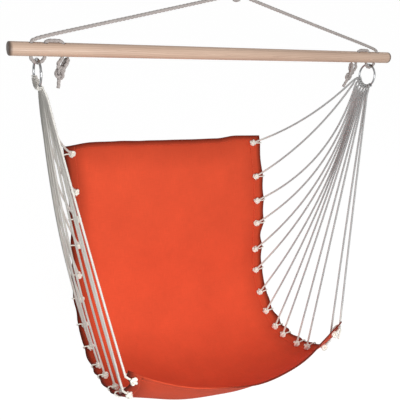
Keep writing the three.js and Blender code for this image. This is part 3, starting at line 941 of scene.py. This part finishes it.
class HAMMOCK_OT_spreader_bar(bpy.types.Operator):
    """Turn the bar, round its ends and drill its rope holes"""

    bl_idname = "hammock.spreader_bar"
    bl_label = "Spreader bar"

    def execute(self, context):
        bar = settings("bar")
        deselect()
        bpy.ops.mesh.primitive_cylinder_add(
            vertices=64, radius=bar.diameter / 2, depth=BAR_SIZE.x, location=(0, 0, BAR_Z),
            rotation=(0, math.pi / 2, 0),
        )
        piece = bpy.context.object
        piece.name = "wooden_bar"
        apply_place(piece)
        self.round_ends(piece, bar)
        for word, side in SIDES:
            for place in hole_places():
                self.drill(piece, side * place, bar)
        select_only(piece)
        bpy.ops.object.shade_smooth_by_angle(angle=math.radians(40))
        piece.data.materials.clear()
        piece.data.materials.append(bpy.data.materials["pale_wood"])
        settle(piece, "spreader", "wood", "spreader_bar")
        return {"FINISHED"}

    def round_ends(self, piece, bar):
        bpy.ops.object.mode_set(mode="EDIT")
        bpy.ops.mesh.select_all(action="DESELECT")
        mesh = bmesh.from_edit_mesh(piece.data)
        for edge in mesh.edges:
            first, second = edge.verts
            edge.select = abs(first.co.x - second.co.x) < 1e-6
        bmesh.update_edit_mesh(piece.data)
        bpy.ops.mesh.bevel(offset=bar.end_round, segments=5, affect="EDGES")
        bpy.ops.object.mode_set(mode="OBJECT")

    def drill(self, piece, x, bar):
        """One hole through the bar, its mouths eased by a wider cone."""
        radius = settings("rope").diameter / 2 + bar.hole_play
        deselect()
        bpy.ops.mesh.primitive_cylinder_add(
            vertices=40, radius=radius, depth=bar.diameter * CUTTER_LENGTH, location=(x, 0, BAR_Z)
        )
        cutter = bpy.context.object
        bpy.ops.object.mode_set(mode="EDIT")
        for level in CUTTER_LEVELS:
            bpy.ops.mesh.select_all(action="SELECT")
            bpy.ops.mesh.bisect(plane_co=(x, 0, BAR_Z + level * bar.diameter), plane_no=(0, 0, 1))
        bpy.ops.mesh.select_all(action="DESELECT")
        mesh = bmesh.from_edit_mesh(cutter.data)
        for vertex in mesh.verts:
            vertex.select = abs(vertex.co.z) > MOUTH_LEVEL * bar.diameter
        mesh.select_flush(True)
        bmesh.update_edit_mesh(cutter.data)
        bpy.ops.transform.resize(value=MOUTH_SPREAD, orient_type="GLOBAL")
        bpy.ops.object.mode_set(mode="OBJECT")
        select_only(piece)
        cut = piece.modifiers.new("hole", "BOOLEAN")
        cut.object = cutter
        cut.operation = "DIFFERENCE"
        cut.solver = "EXACT"
        bpy.ops.object.modifier_apply(modifier=cut.name)
        bpy.data.objects.remove(cutter)


# The rings' weld: its angle round the ring, how much thicker the wire is in it and thinner beside
# it, how sharply both fade, and how far off its middle it is thinnest, in radii of the wire
WELD_ANGLE = 0.35
WELD_SWELL = 0.16
WELD_FADE = 1.6
WELD_SINK = 0.05
SINK_FADE = 5
SINK_PLACE = 1.5


class HAMMOCK_OT_rings(bpy.types.Operator):
    """Bend the two welded steel rings"""

    bl_idname = "hammock.rings"
    bl_label = "Rings"

    def execute(self, context):
        ring = settings("ring")
        minor = ring.wire / 2
        major = ring.diameter / 2 - minor
        for word, side in SIDES:
            deselect()
            bpy.ops.mesh.primitive_torus_add(
                major_segments=ring.segments, minor_segments=20, major_radius=major, minor_radius=minor,
                location=(side * RING_PLACE.x, 0, RING_PLACE.z), rotation=(0, math.pi / 2, 0),
            )
            piece = bpy.context.object
            piece.name = f"{word}_steel_ring"
            apply_place(piece)
            self.weld(piece, side * RING_PLACE.x, major, minor)
            select_only(piece)
            bpy.ops.object.shade_smooth()
            piece.data.materials.clear()
            piece.data.materials.append(bpy.data.materials["ring_wire"])
            settle(piece, "rings", "ring_steel", f"{word}_ring")
        return {"FINISHED"}

    def weld(self, piece, x, major, minor):
        """Raises the welded joint a little, on the ring's front."""
        centre = Vector((x, 0, RING_PLACE.z))
        for vertex in piece.data.vertices:
            out = vertex.co - centre
            angle = math.atan2(out.z, -out.y)
            wire_centre = centre + Vector((0, -math.cos(angle), math.sin(angle))) * major
            away = (angle - WELD_ANGLE) * major / minor
            swell = WELD_SWELL * math.exp(-(away**2) * WELD_FADE)
            sink = WELD_SINK * math.exp(-((abs(away) - SINK_PLACE) ** 2) * SINK_FADE)
            vertex.co = wire_centre + (vertex.co - wire_centre) * (1 + (swell - sink))


def knot_path(centre, axes, scale, tall, turn, step):
    """An overhand knot's closed path, drawn tight round a centre."""
    angle = np.linspace(0, 2 * math.pi, 240) + turn
    flat = 2 + np.cos(3 * angle)
    local = np.stack([flat * np.cos(2 * angle), flat * np.sin(2 * angle), tall * np.sin(3 * angle)], -1)
    return evenly(centre + scale * local @ np.asarray(axes), step)


# Sides of the rope's mesh, and how thick it is drawn in a knot, as a share of its thickness
ROPE_SIDES = 15
KNOTTED = 0.86

# The hanging knot: how far back each of its two ropes lies, in radii, and is turned, its width
# in the path's units, and its path's height
HANG_KNOT_ROPES = ((-0.42, 0.5), (0.42, 0.56))
HANG_KNOT_WIDTH = 8
HANG_KNOT_TALL = 1.35

# Half the gap between the hanging loop's ends
LOOP_FOOT = 0.0055

# The stopper knot: its middle below the bar, its size, its path's height and turn, and how much
# it is drawn out upright
STOPPER_DROP = 0.0335
STOPPER_SCALE = 0.0028
STOPPER_TALL = 1.5
STOPPER_TURN = 0.4
STOPPER_STRETCH = 1.5

# The rope into that knot, its free end and its bight, from the inner hole's lower mouth: out
# from the bar's middle, back and up, in metres
STOPPER_DOWN = ((0.002, 0, -0.004), (0.0075, -0.001, -0.014), (0.003, 0, -0.029))
STOPPER_TAIL = ((0.001, 0.001, -0.036), (0, 0, -0.05), (-0.001, 0, -0.058))
STOPPER_BIGHT = (
    (-0.001, -0.004, -0.028), (-0.007, -0.005, -0.018), (-0.0105, -0.004, -0.0068),
    (-0.0108, 0.002, -0.0046), (-0.0085, 0.006, -0.008), (-0.003, 0.005, -0.022),
)


class HAMMOCK_OT_rope(bpy.types.Operator):
    """Lay the rope: hanging loop and knot, legs, lacing through the bar and stopper knots"""

    bl_idname = "hammock.rope"
    bl_label = "Suspension rope"

    def execute(self, context):
        rope = settings("rope")
        self.radius = rope.diameter / 2
        self.lay = rope.lay
        self.step = rope.step
        self.hanging_knot()
        self.hanging_loop()
        for word, side in SIDES:
            self.leg(word, side)
            self.lacing(word, side)
            self.stopper(word, side)
        return {"FINISHED"}

    def tube(self, points, ends=(0.3, 0.3)):
        path = smooth_curve(points, self.step)
        return twisted_tube(path, self.radius, self.lay, sides=ROPE_SIDES, ends=ends)

    def knotted_tube(self, path):
        return twisted_tube(path, self.radius * KNOTTED, self.lay, sides=ROPE_SIDES)

    def hanging_knot(self):
        centre = vec(*KNOT_PLACE)
        axes = (vec(1, 0, 0), vec(0, 0, 1), vec(0, -1, 0))
        scale = KNOT_SIZE.x / HANG_KNOT_WIDTH
        parts = []
        for back, turn in HANG_KNOT_ROPES:
            place = centre + vec(0, back * self.radius, 0)
            path = knot_path(place, axes, scale, HANG_KNOT_TALL, turn, self.step)
            path[:, 2] = centre[2] + (path[:, 2] - centre[2]) * KNOT_SIZE.z / KNOT_SIZE.x
            parts.append(self.knotted_tube(path))
        piece = make_piece("hanging_knot", parts, "rope_yarn")
        settle(piece, "knot", "rope", "hang_knot")

    def hanging_loop(self):
        low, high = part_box("hang_loop")
        eye = (high.x - low.x) / 2 - self.radius
        eye_z = high.z - self.radius - eye
        right = [(LOOP_FOOT * 0.7, 0, low.z - 0.008), (LOOP_FOOT, 0, low.z + 0.002),
                 ((LOOP_FOOT + eye) / 2, 0, (low.z + eye_z) / 2)]
        arc = [(eye * math.cos(a), 0, eye_z + eye * math.sin(a)) for a in np.linspace(0, math.pi, 13)]
        left = [(-x, y, z) for x, y, z in reversed(right)]
        piece = make_piece("hanging_loop", [self.tube([*right, *arc, *left])], "rope_yarn")
        settle(piece, "loop", "rope", "hang_loop")

    def leg(self, word, side):
        """The rope from the hanging knot to the outer hole and down into it."""
        outer = hole_places()[0]
        top = BAR_Z + settings("bar").diameter / 2
        bend = 0.0095
        points = [
            (side * 0.004, 0, KNOT_PLACE.z), (side * 0.03, 0, KNOT_PLACE.z - 0.0078),
            (side * outer * 0.5, 0, (KNOT_PLACE.z + top + 0.004) / 2),
            (side * (outer - 0.03), 0, top + 0.0125), (side * (outer - bend), 0, top + 0.0062),
            (side * (outer - 0.0018), 0, top + 0.0015), (side * outer, 0, top - 0.006),
            (side * outer, 0, BAR_Z),
        ]
        piece = make_piece(f"{word}_rope_leg", [self.tube(points)], "rope_yarn")
        settle(piece, "spreader", "rope", f"{word}_leg_rope")

    def lacing(self, word, side):
        """The rope down the outer hole, up the middle one and over the bar to the inner one."""
        outer, middle, inner = hole_places()
        radius = settings("bar").diameter / 2
        bight = (outer - middle) / 2
        bight_z = LACING_BOX[0].z + self.radius + bight
        over = BAR_Z + radius + self.radius - 0.0012
        lower = [
            (RING_PLACE.x + bight * math.cos(a), bight_z - bight * math.sin(a))
            for a in np.linspace(0.0, math.pi, 11)
        ]
        bend = 0.0045
        mouth = BAR_Z + radius - 0.004
        upper = [
            (middle, mouth), (middle - 0.0012, over - 0.0036), (middle - bend, over - 0.0005),
            ((middle + inner) / 2, over + 0.0008),
            (inner + bend, over - 0.0005), (inner + 0.0012, over - 0.0036), (inner, mouth),
        ]
        route = [(outer, BAR_Z - 0.001), (outer, bight_z + 0.003), *lower[1:-1], (middle, bight_z + 0.003),
                 (middle, BAR_Z), *upper, (inner, BAR_Z + 0.001)]
        points = [(side * x, 0, z) for x, z in route]
        piece = make_piece(f"{word}_rope_lacing", [self.tube(points)], "rope_yarn")
        settle(piece, "spreader", "rope", f"{word}_bar_lacing")

    def stopper(self, word, side):
        """The knot under the bar, its free end, and the short bight that rises beside it."""
        inner = hole_places()[2]
        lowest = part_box(f"{word}_stopper_knot")[0].z
        under = BAR_Z - settings("bar").diameter / 2
        centre = vec(side * inner, 0, under - STOPPER_DROP)
        axes = (vec(0.94 * side, 0.34, 0), vec(0, 0, 1), vec(0.34, -0.94 * side, 0))
        knot = knot_path(centre, axes, STOPPER_SCALE, STOPPER_TALL, STOPPER_TURN, self.step)
        knot[:, 2] = centre[2] + (knot[:, 2] - centre[2]) * STOPPER_STRETCH
        down, tail, bight = (
            [(side * (inner + out), back, under + up) for out, back, up in points]
            for points in (STOPPER_DOWN, STOPPER_TAIL, STOPPER_BIGHT)
        )
        down.insert(0, (side * inner, 0, BAR_Z - 0.001))
        tail.append((side * (inner - 0.0015), 0, lowest + 0.001))
        slope = math.tan(math.radians(STOPPER_LEANS[word]))
        knot, down, tail, bight = (self.leaned(part, under, slope) for part in (knot, down, tail, bight))
        parts = [self.knotted_tube(knot), self.tube(down), self.tube(tail, (0.3, 0.12)), self.tube(bight)]
        piece = make_piece(f"{word}_rope_stopper", parts, "rope_yarn")
        settle(piece, "spreader", "rope", f"{word}_stopper_knot")

    def leaned(self, points, under, slope):
        """Points below the bar, pushed to the left by a share of their depth below it."""
        points = np.array(points, float)
        points[:, 0] -= slope * np.clip(under - 0.004 - points[:, 2], 0, None)
        return points


# Turns of a cord round the ring's wire, then the middle of the crossing bar and the leg's
# start: towards the seat, out from the ring's centre and along the wire, in metres
HITCH_TURNS = (
    (0.0066, 0.0085, 0.00165), (0.0050, 0.0050, 0.0013), (0.0041, 0.0010, 0.0013),
    (0.0033, -0.0026, 0.00145), (0.0, -0.0041, 0.0018), (-0.0033, -0.0024, 0.0021),
    (-0.0041, 0.0005, 0.0025), (-0.0030, 0.0032, 0.0029), (0.0, 0.0043, 0.0031),
    (0.0036, 0.0045, 0.0032), (0.0064, 0.0036, 0.0026),
)
HITCH_BAR = (0.0071, 0.0030, 0.0)
HITCH_START = (0.0091, 0.004, 0.0023)

# The hitches on a ring: how many, how far apart and how far forward, and the cord's radius in
# them and the distances from the wire over which it widens to a leg's
HITCH_COUNT = 7
HITCH_PITCH = math.radians(16.8)
HITCH_TURN = math.radians(9.5)
HITCH_RADIUS = 0.00145
HITCH_REACH = (0.0085, 0.022)

# A cord's knot: its size, its path's height, its middle above the hem and in from its eyelet.
# Then how thick the cord is in the knot, in its loop and in its tail, as shares of a leg
KNOT_SCALE = 0.0021
KNOT_TALL = 2.3
KNOT_RISE = 0.0066
KNOT_INSETS = {"left": -0.001, "right": 0.008}
KNOT_GIRTH = 1.27
LOOP_GIRTH = 0.66
TAIL_GIRTH = 0.8

# Tails that were left long, by side and eyelet, in metres
LONG_TAILS = {("right", 13): 0.036}

# The distances from its knots over which a leg's painted light fades, and how much it has at both
PAINTED_LIGHT_REACH = (0.02, 0.09)
PAINTED_LIGHT_SHARES = {"left": (0.7, 0.5), "right": (0.7, 0)}


class HAMMOCK_OT_cords(bpy.types.Operator):
    """Hitch the fourteen cords on the rings and knot them into the seat's edges"""

    bl_idname = "hammock.cords"
    bl_label = "Lacing cords"

    def execute(self, context):
        cord = settings("cord")
        self.radius = cord.diameter / 2
        self.cord = cord
        self.surface = SeatSurface()
        self.chance = np.random.default_rng(7)
        for word, side in SIDES:
            for hitch in range(HITCH_COUNT):
                self.doubled_cord(word, side, hitch)
        return {"FINISHED"}

    def wire_place(self, side, angle, seatward, out, along):
        """A place by a ring's wire, given as in HITCH_TURNS from the wire at an angle."""
        major = (settings("ring").diameter - settings("ring").wire) / 2 + out
        turned = angle + along / major
        return vec(
            side * (RING_PLACE.x - seatward), major * math.sin(turned),
            RING_PLACE.z - major * math.cos(turned),
        )

    def leg(self, word, side, angle, direction, eyelet):
        """Points of a leg from below its hitch to its knot, and the knot's place."""
        seatward, off_ring, aside = HITCH_START
        start = self.wire_place(side, angle, seatward, off_ring, direction * aside)
        centre, out, inward, reach = self.surface.eyelet(eyelet, side)
        half = self.surface.canvas.hem_thickness / 2
        inset = KNOT_INSETS[word]
        beyond = []
        if eyelet < INNER_KNOTS:
            knot = end = centre + inward * (half + KNOT_RISE) - out * inset
        else:
            knot = centre - inward * (half + KNOT_RISE) - out * inset
            clear = self.radius + 0.0003
            end = centre + out * (reach + clear) - inward * half
            beyond = [
                centre + out * (reach + clear * 0.7) - inward * (half + clear * 0.7),
                centre + out * (reach - 0.001) - inward * (half + clear), knot,
            ]
            inward = -inward
        straight = end - start
        span = np.linalg.norm(straight)
        heading = straight / span
        down = vec(0, 0, -1)
        hang = unit(down - heading * np.dot(down, heading))
        share = np.concatenate([[0.035], np.linspace(0.08, 0.985, 15)])[:, None]
        bow = 4 * BOW_SHARES[word][eyelet] * span
        points = start + straight * share + hang * bow * share * (1 - share)
        return np.vstack([points, end, *beyond]), knot, (centre, out, inward, reach)

    def doubled_cord(self, word, side, hitch):
        """A cord from one knot up over the ring's wire and down to its other knot."""
        angle = HITCH_TURN + (HITCH_COUNT - 1 - 2 * hitch) * HITCH_PITCH / 2
        eyelets = (2 * hitch, 2 * hitch + 1)
        first, first_end, first_place = self.leg(word, side, angle, 1, eyelets[0])
        second, second_end, second_place = self.leg(word, side, angle, -1, eyelets[1])
        turns = [self.wire_place(side, angle, *turn) for turn in HITCH_TURNS]
        back = [self.wire_place(side, angle, a, b, -c) for a, b, c in reversed(HITCH_TURNS)]
        middle = [self.wire_place(side, angle, *HITCH_BAR)]
        route = np.vstack([first[::-1], turns, middle, back, second])
        path = smooth_curve(route, self.cord.step)
        wire = vec(side * RING_PLACE.x, *self.wire_place(side, angle, 0, 0, 0)[1:])
        near = np.linalg.norm(path - wire, axis=1)
        radii = np.interp(near, HITCH_REACH, (HITCH_RADIUS, self.radius))
        parts = [twisted_tube(path, radii, self.cord.lay)]
        vertices = np.array(parts[0][0])
        ends = (first_end, second_end)
        to_knot = np.minimum(*(np.linalg.norm(vertices - end, axis=1) for end in ends))
        for end, place, eyelet in zip(ends, (first_place, second_place), eyelets):
            parts.extend(self.fastening(end, *place, LONG_TAILS.get((word, eyelet))))
        # Painted light: knots, loops and tails are painted fully lit, legs less so away from their knots
        clean = np.ones(sum(len(part[0]) for part in parts))
        clean[: len(vertices)] = np.interp(to_knot, PAINTED_LIGHT_REACH, PAINTED_LIGHT_SHARES[word])
        piece = make_piece(f"{word}_lacing_cord_{hitch + 1}", parts, "cord_yarn", clean)
        settle(piece, "sling", "cord", f"{word}_cord_{hitch + 1}")

    def fastening(self, knot_centre, centre, out, inward, reach, long_tail):
        """The knot on the hem, the loop through the eyelet and round the edge, and the tail."""
        length = np.cross(out, inward)
        tilt = self.chance.uniform(-0.35, 0.35)
        slant = self.chance.uniform(-0.3, 0.3)
        axis = unit(inward + tilt * out + slant * length)
        across = unit(np.cross(length, axis))
        axes = (across, np.cross(axis, across), axis)
        lay, step = self.cord.lay, self.cord.step
        knot = knot_path(knot_centre, axes, KNOT_SCALE, KNOT_TALL, self.chance.uniform(0, 6), step)
        half = self.surface.canvas.hem_thickness / 2 + self.radius
        outer = half + 0.0002
        loop = [
            knot_centre,
            centre + inward * half * 0.6,
            centre - inward * half * 0.7,
            centre - inward * outer + out * 0.004,
            centre - inward * outer + out * (reach - 0.003),
            centre - inward * half * 0.4 + out * (reach + 0.0022),
            centre + inward * half * 0.5 + out * (reach + 0.0022),
            centre + inward * (half + 0.0008) + out * (reach - 0.003) + length * 0.0012,
            knot_centre + out * 0.003 + length * 0.001,
        ]
        free = self.cord.tail * self.chance.uniform(0.45, 1.0)
        way = length * self.chance.choice((-1, 1)) + out * self.chance.uniform(-0.4, 0.2)
        rise = np.dot(knot_centre - centre, inward)
        level = unit(knot_centre - centre) * abs(rise)
        tail = [
            knot_centre + way * reach_out - level * sink
            for reach_out, sink in ((0.003, 0), (0.006, 0.15), (0.0075, 0.3), (0.008 + free, 0.4))
        ]
        if long_tail:
            over = knot_centre + out * reach - length * 0.002
            tail = [
                knot_centre + out * 0.004, over, over + out * 0.005 + vec(0, 0, -0.004),
                over + out * 0.007 + vec(0, 0, -0.5 * long_tail),
                over + out * 0.008 + vec(0, 0, -long_tail),
            ]
        return [
            twisted_tube(knot, self.radius * KNOT_GIRTH, lay),
            twisted_tube(smooth_curve(loop, step), self.radius * LOOP_GIRTH, lay),
            twisted_tube(smooth_curve(tail, step), self.radius * TAIL_GIRTH, lay, ends=(0.3, 0.1)),
        ]


# Hem cross-section from the fold to the inner edge: shares of the hem's width, and of its
# half thickness
HEM_PROFILE = (
    (0.0, 0.25), (0.02, 0.72), (0.06, 0.97), (0.14, 1.06), (0.3, 1.0), (0.5, 0.95), (0.7, 0.98),
    (0.8, 1.02), (0.86, 0.86), (0.89, 0.8), (0.92, 0.86), (0.97, 1.0), (0.995, 0.85), (1.0, 0.45),
)
STITCH_SHARE = 0.89

# How far the panel reaches under its hems, and the mesh's steps along the hems
PANEL_LAP = 0.004
SIDE_HEM_STEP = 0.0035
END_HEM_STEP = 0.0045

# A stitch's thread: its radius and lay, the stitches' pitch over their length, and the places
# along a stitch with the heights there, in fifths of a millimetre over the stitches' level,
# which is a share of the hem's half thickness
THREAD_RADIUS = 0.00042
THREAD_LAY = 0.004
STITCH_PITCH = 1.25
STITCH_PLACES = (0, 0.18, 0.5, 0.82, 1.0)
STITCH_RISES = (-2.2, 0.6, 1.2, 0.6, -2.2)
STITCH_LEVEL = 0.84


class HAMMOCK_OT_canvas(bpy.types.Operator):
    """Hang the canvas panel and fold its hems"""

    bl_idname = "hammock.canvas"
    bl_label = "Canvas seat"

    def execute(self, context):
        canvas = settings("canvas")
        self.canvas = canvas
        self.surface = SeatSurface()
        self.side_share = canvas.side_hem / self.surface.half
        self.end_share = canvas.end_hem / self.surface.length
        panel = self.panel()
        hems = [
            self.side_hem("left", -1), self.side_hem("right", 1),
            self.end_hem("top", 0, 1, "back_top_hem"), self.end_hem("knee", 1, -1, "front_hem"),
        ]
        for hem in hems:
            self.stitching(hem)
        return {"FINISHED"}

    def panel(self):
        canvas = self.canvas
        reach = 1 - self.side_share + PANEL_LAP / self.surface.half
        columns = int(2 * reach * self.surface.half / canvas.grid)
        rows = int(self.surface.length / canvas.grid)
        edge = self.end_share - PANEL_LAP / self.surface.length
        across = np.linspace(-reach, reach, columns + 1)
        along = np.linspace(edge, 1 - edge, rows + 1)
        half = canvas.thickness / 2
        part = sheet_between(self.surface, across, along, half, -half)
        piece = make_piece("canvas_panel", [part], "orange_canvas")
        return settle(piece, "sling", "canvas", "seat_panel")

    def profile(self):
        half = self.canvas.hem_thickness / 2
        shares = np.array([share for share, thick in HEM_PROFILE])
        thick = np.array([thick * half for share, thick in HEM_PROFILE])
        return shares, thick

    def side_hem(self, word, side):
        shares, thick = self.profile()
        across = side * (1 - shares * self.side_share)
        along = np.linspace(0, 1, int(self.surface.length / SIDE_HEM_STEP) + 1)
        if side > 0:
            across, thick = across[::-1], thick[::-1]
        part = sheet_between(self.surface, across, along, thick, -thick)
        piece = make_piece(f"{word}_hem", [part], "hem_cloth")
        settle(piece, "sling", "hem_canvas", f"{word}_side_hem")
        line = np.full(2, side * (1 - STITCH_SHARE * self.side_share))
        return piece, (line, np.array((0.004, 0.996)))

    def end_hem(self, word, edge, way, node):
        shares, thick = self.profile()
        along = edge + way * shares * self.end_share
        reach = 1 - self.side_share + 0.001 / self.surface.half
        count = int(2 * reach * self.surface.half / END_HEM_STEP)
        across = np.linspace(-reach, reach, count + 1)
        if way < 0:
            along, thick = along[::-1], thick[::-1]
        tops = np.broadcast_to(thick[:, None], (len(along), len(across)))
        part = sheet_between(self.surface, across, along, tops, -tops)
        piece = make_piece(f"{word}_hem", [part], "hem_cloth")
        settle(piece, "sling", "hem_canvas", node)
        line = np.full(2, edge + way * STITCH_SHARE * self.end_share)
        return piece, (np.array((-reach, reach)), line)

    def stitching(self, hem):
        """Short threads along a hem's inner edge, on both faces."""
        piece, (across, along) = hem
        wide, tall = across[1] - across[0], along[1] - along[0]
        span = np.hypot(wide * self.surface.half, tall * self.surface.length)
        count = int(span / (self.canvas.stitch * STITCH_PITCH))
        lift = self.canvas.hem_thickness / 2 * STITCH_LEVEL
        parts = []
        for index in range(count):
            share = (index + 0.1 + 0.8 * np.array(STITCH_PLACES)) / count
            for face in (1, -1):
                rise = face * (lift + 0.0002 * np.array(STITCH_RISES))
                points = self.surface.point(across[0] + wide * share, along[0] + tall * share, rise)
                parts.append(twisted_tube(points, THREAD_RADIUS, THREAD_LAY, sides=5, ends=(0.2, 0.2)))
        threads = make_piece(piece.name + "_stitching", parts, "sewing_thread")
        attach(threads, "sling")


# The lamps: size and place of each, and the spot that both are turned to
KEY_LAMP = (0.6, (-0.33, -1.15, -0.32))
FILL_LAMP = (1.8, (1.9, -1.2, 0.4))
LAMP_AIM = (0, 0.05, -0.6)


class HAMMOCK_OT_stage(bpy.types.Operator):
    """Place the camera, the floor, the lamps and the world"""

    bl_idname = "hammock.stage"
    bl_label = "Stage"

    def execute(self, context):
        stage = settings("stage")
        self.camera()
        self.floor(stage)
        self.lamp("key_lamp", stage.key, *KEY_LAMP)
        self.lamp("fill_lamp", stage.fill, *FILL_LAMP)
        self.world(stage)
        context.scene.view_settings.view_transform = "Standard"
        return {"FINISHED"}

    def camera(self):
        turn, tilt, roll = (math.radians(a) for a in (CAMERA_TURN, CAMERA_TILT, CAMERA_ROLL))
        ahead = Vector((math.sin(turn) * math.cos(tilt), math.cos(turn) * math.cos(tilt), math.sin(tilt)))
        level = Vector((math.cos(turn), -math.sin(turn), 0))
        upright = level.cross(ahead)
        right = math.cos(roll) * level + math.sin(roll) * upright
        up = -math.sin(roll) * level + math.cos(roll) * upright
        data = bpy.data.cameras.new("camera")
        data.sensor_fit = "HORIZONTAL"
        data.sensor_width = CAMERA_SENSOR
        data.lens = CAMERA_LENS
        data.clip_start = 0.01
        camera = bpy.data.objects.new("camera", data)
        bpy.context.scene.collection.objects.link(camera)
        turned = Matrix((right, up, -ahead)).transposed().to_4x4()
        camera.matrix_world = Matrix.Translation(CAMERA_PLACE) @ turned
        bpy.context.scene.camera = camera

    def floor(self, stage):
        deselect()
        bpy.ops.mesh.primitive_plane_add(size=40, location=(0, 0, -stage.floor_drop))
        floor = bpy.context.object
        floor.name = "floor"
        apply_place(floor)
        material = bpy.data.materials.new("pale_floor")
        material.use_nodes = True
        shader = material.node_tree.nodes["Principled BSDF"]
        shader.inputs["Base Color"].default_value = (*stage.floor_colour, 1)
        shader.inputs["Roughness"].default_value = 0.9
        shader.inputs["Specular IOR Level"].default_value = 0.0
        shader.inputs["Emission Color"].default_value = (1, 1, 1, 1)
        seen = self.seen_directly(material.node_tree)
        glow = math_node(material.node_tree, "MULTIPLY", seen, stage.floor_glow)
        material.node_tree.links.new(glow, shader.inputs["Emission Strength"])
        floor.data.materials.append(material)

    def lamp(self, name, power, size, place):
        data = bpy.data.lights.new(name, "AREA")
        data.energy = power
        data.size = size
        lamp = bpy.data.objects.new(name, data)
        lamp.visible_camera = False
        bpy.context.scene.collection.objects.link(lamp)
        aim = Vector(LAMP_AIM) - Vector(place)
        lamp.matrix_world = Matrix.Translation(place) @ aim.to_track_quat("-Z", "Y").to_matrix().to_4x4()

    def world(self, stage):
        world = bpy.data.worlds.new("white_room")
        bpy.context.scene.world = world
        world.use_nodes = True
        tree = world.node_tree
        background = tree.nodes["Background"]
        background.inputs["Color"].default_value = (1, 1, 1, 1)
        strength = ranged(tree, self.seen_directly(tree), (0, 1), (stage.sky, 1))
        tree.links.new(strength, background.inputs["Strength"])

    def seen_directly(self, tree):
        """1 for what the camera sees, also in metal or through glass, and 0 for the light."""
        path = tree.nodes.new("ShaderNodeLightPath")
        seen = path.outputs["Is Camera Ray"]
        for words in ("Is Glossy Ray", "Is Transmission Ray"):
            seen = math_node(tree, "MAXIMUM", seen, path.outputs[words])
        return seen


OPERATORS = (
    HAMMOCK_OT_materials,
    HAMMOCK_OT_stage,
    HAMMOCK_OT_spreader_bar,
    HAMMOCK_OT_rings,
    HAMMOCK_OT_rope,
    HAMMOCK_OT_cords,
    HAMMOCK_OT_canvas,
)


class HAMMOCK_PT_sidebar(bpy.types.Panel):
    """Lists the sizes, the colours and the pieces"""

    bl_idname = "HAMMOCK_PT_sidebar"
    bl_label = "Hammock chair"
    bl_space_type = "VIEW_3D"
    bl_region_type = "UI"
    bl_category = "Hammock chair"

    def draw(self, context):
        for word, group in SETTINGS.items():
            box = self.layout.box()
            box.label(text=word.capitalize())
            for name in group.__annotations__:
                box.prop(settings(word), name)
        for operator in OPERATORS:
            self.layout.operator(operator.bl_idname)


def register():
    for group in SETTINGS.values():
        bpy.utils.register_class(group)
    for word, group in SETTINGS.items():
        setattr(bpy.types.Scene, "hammock_" + word, PointerProperty(type=group))
    for operator in OPERATORS:
        bpy.utils.register_class(operator)
    bpy.utils.register_class(HAMMOCK_PT_sidebar)


def unregister():
    bpy.utils.unregister_class(HAMMOCK_PT_sidebar)
    for operator in reversed(OPERATORS):
        bpy.utils.unregister_class(operator)
    for word, group in SETTINGS.items():
        delattr(bpy.types.Scene, "hammock_" + word)
        bpy.utils.unregister_class(group)


def corners(bounds):
    return [[round(float(number), 6) for number in corner] for corner in bounds]


def main():
    register()
    for operator in OPERATORS:
        family, name = operator.bl_idname.split(".")
        getattr(getattr(bpy.ops, family), name)()


if __name__ == "__main__":
    main()
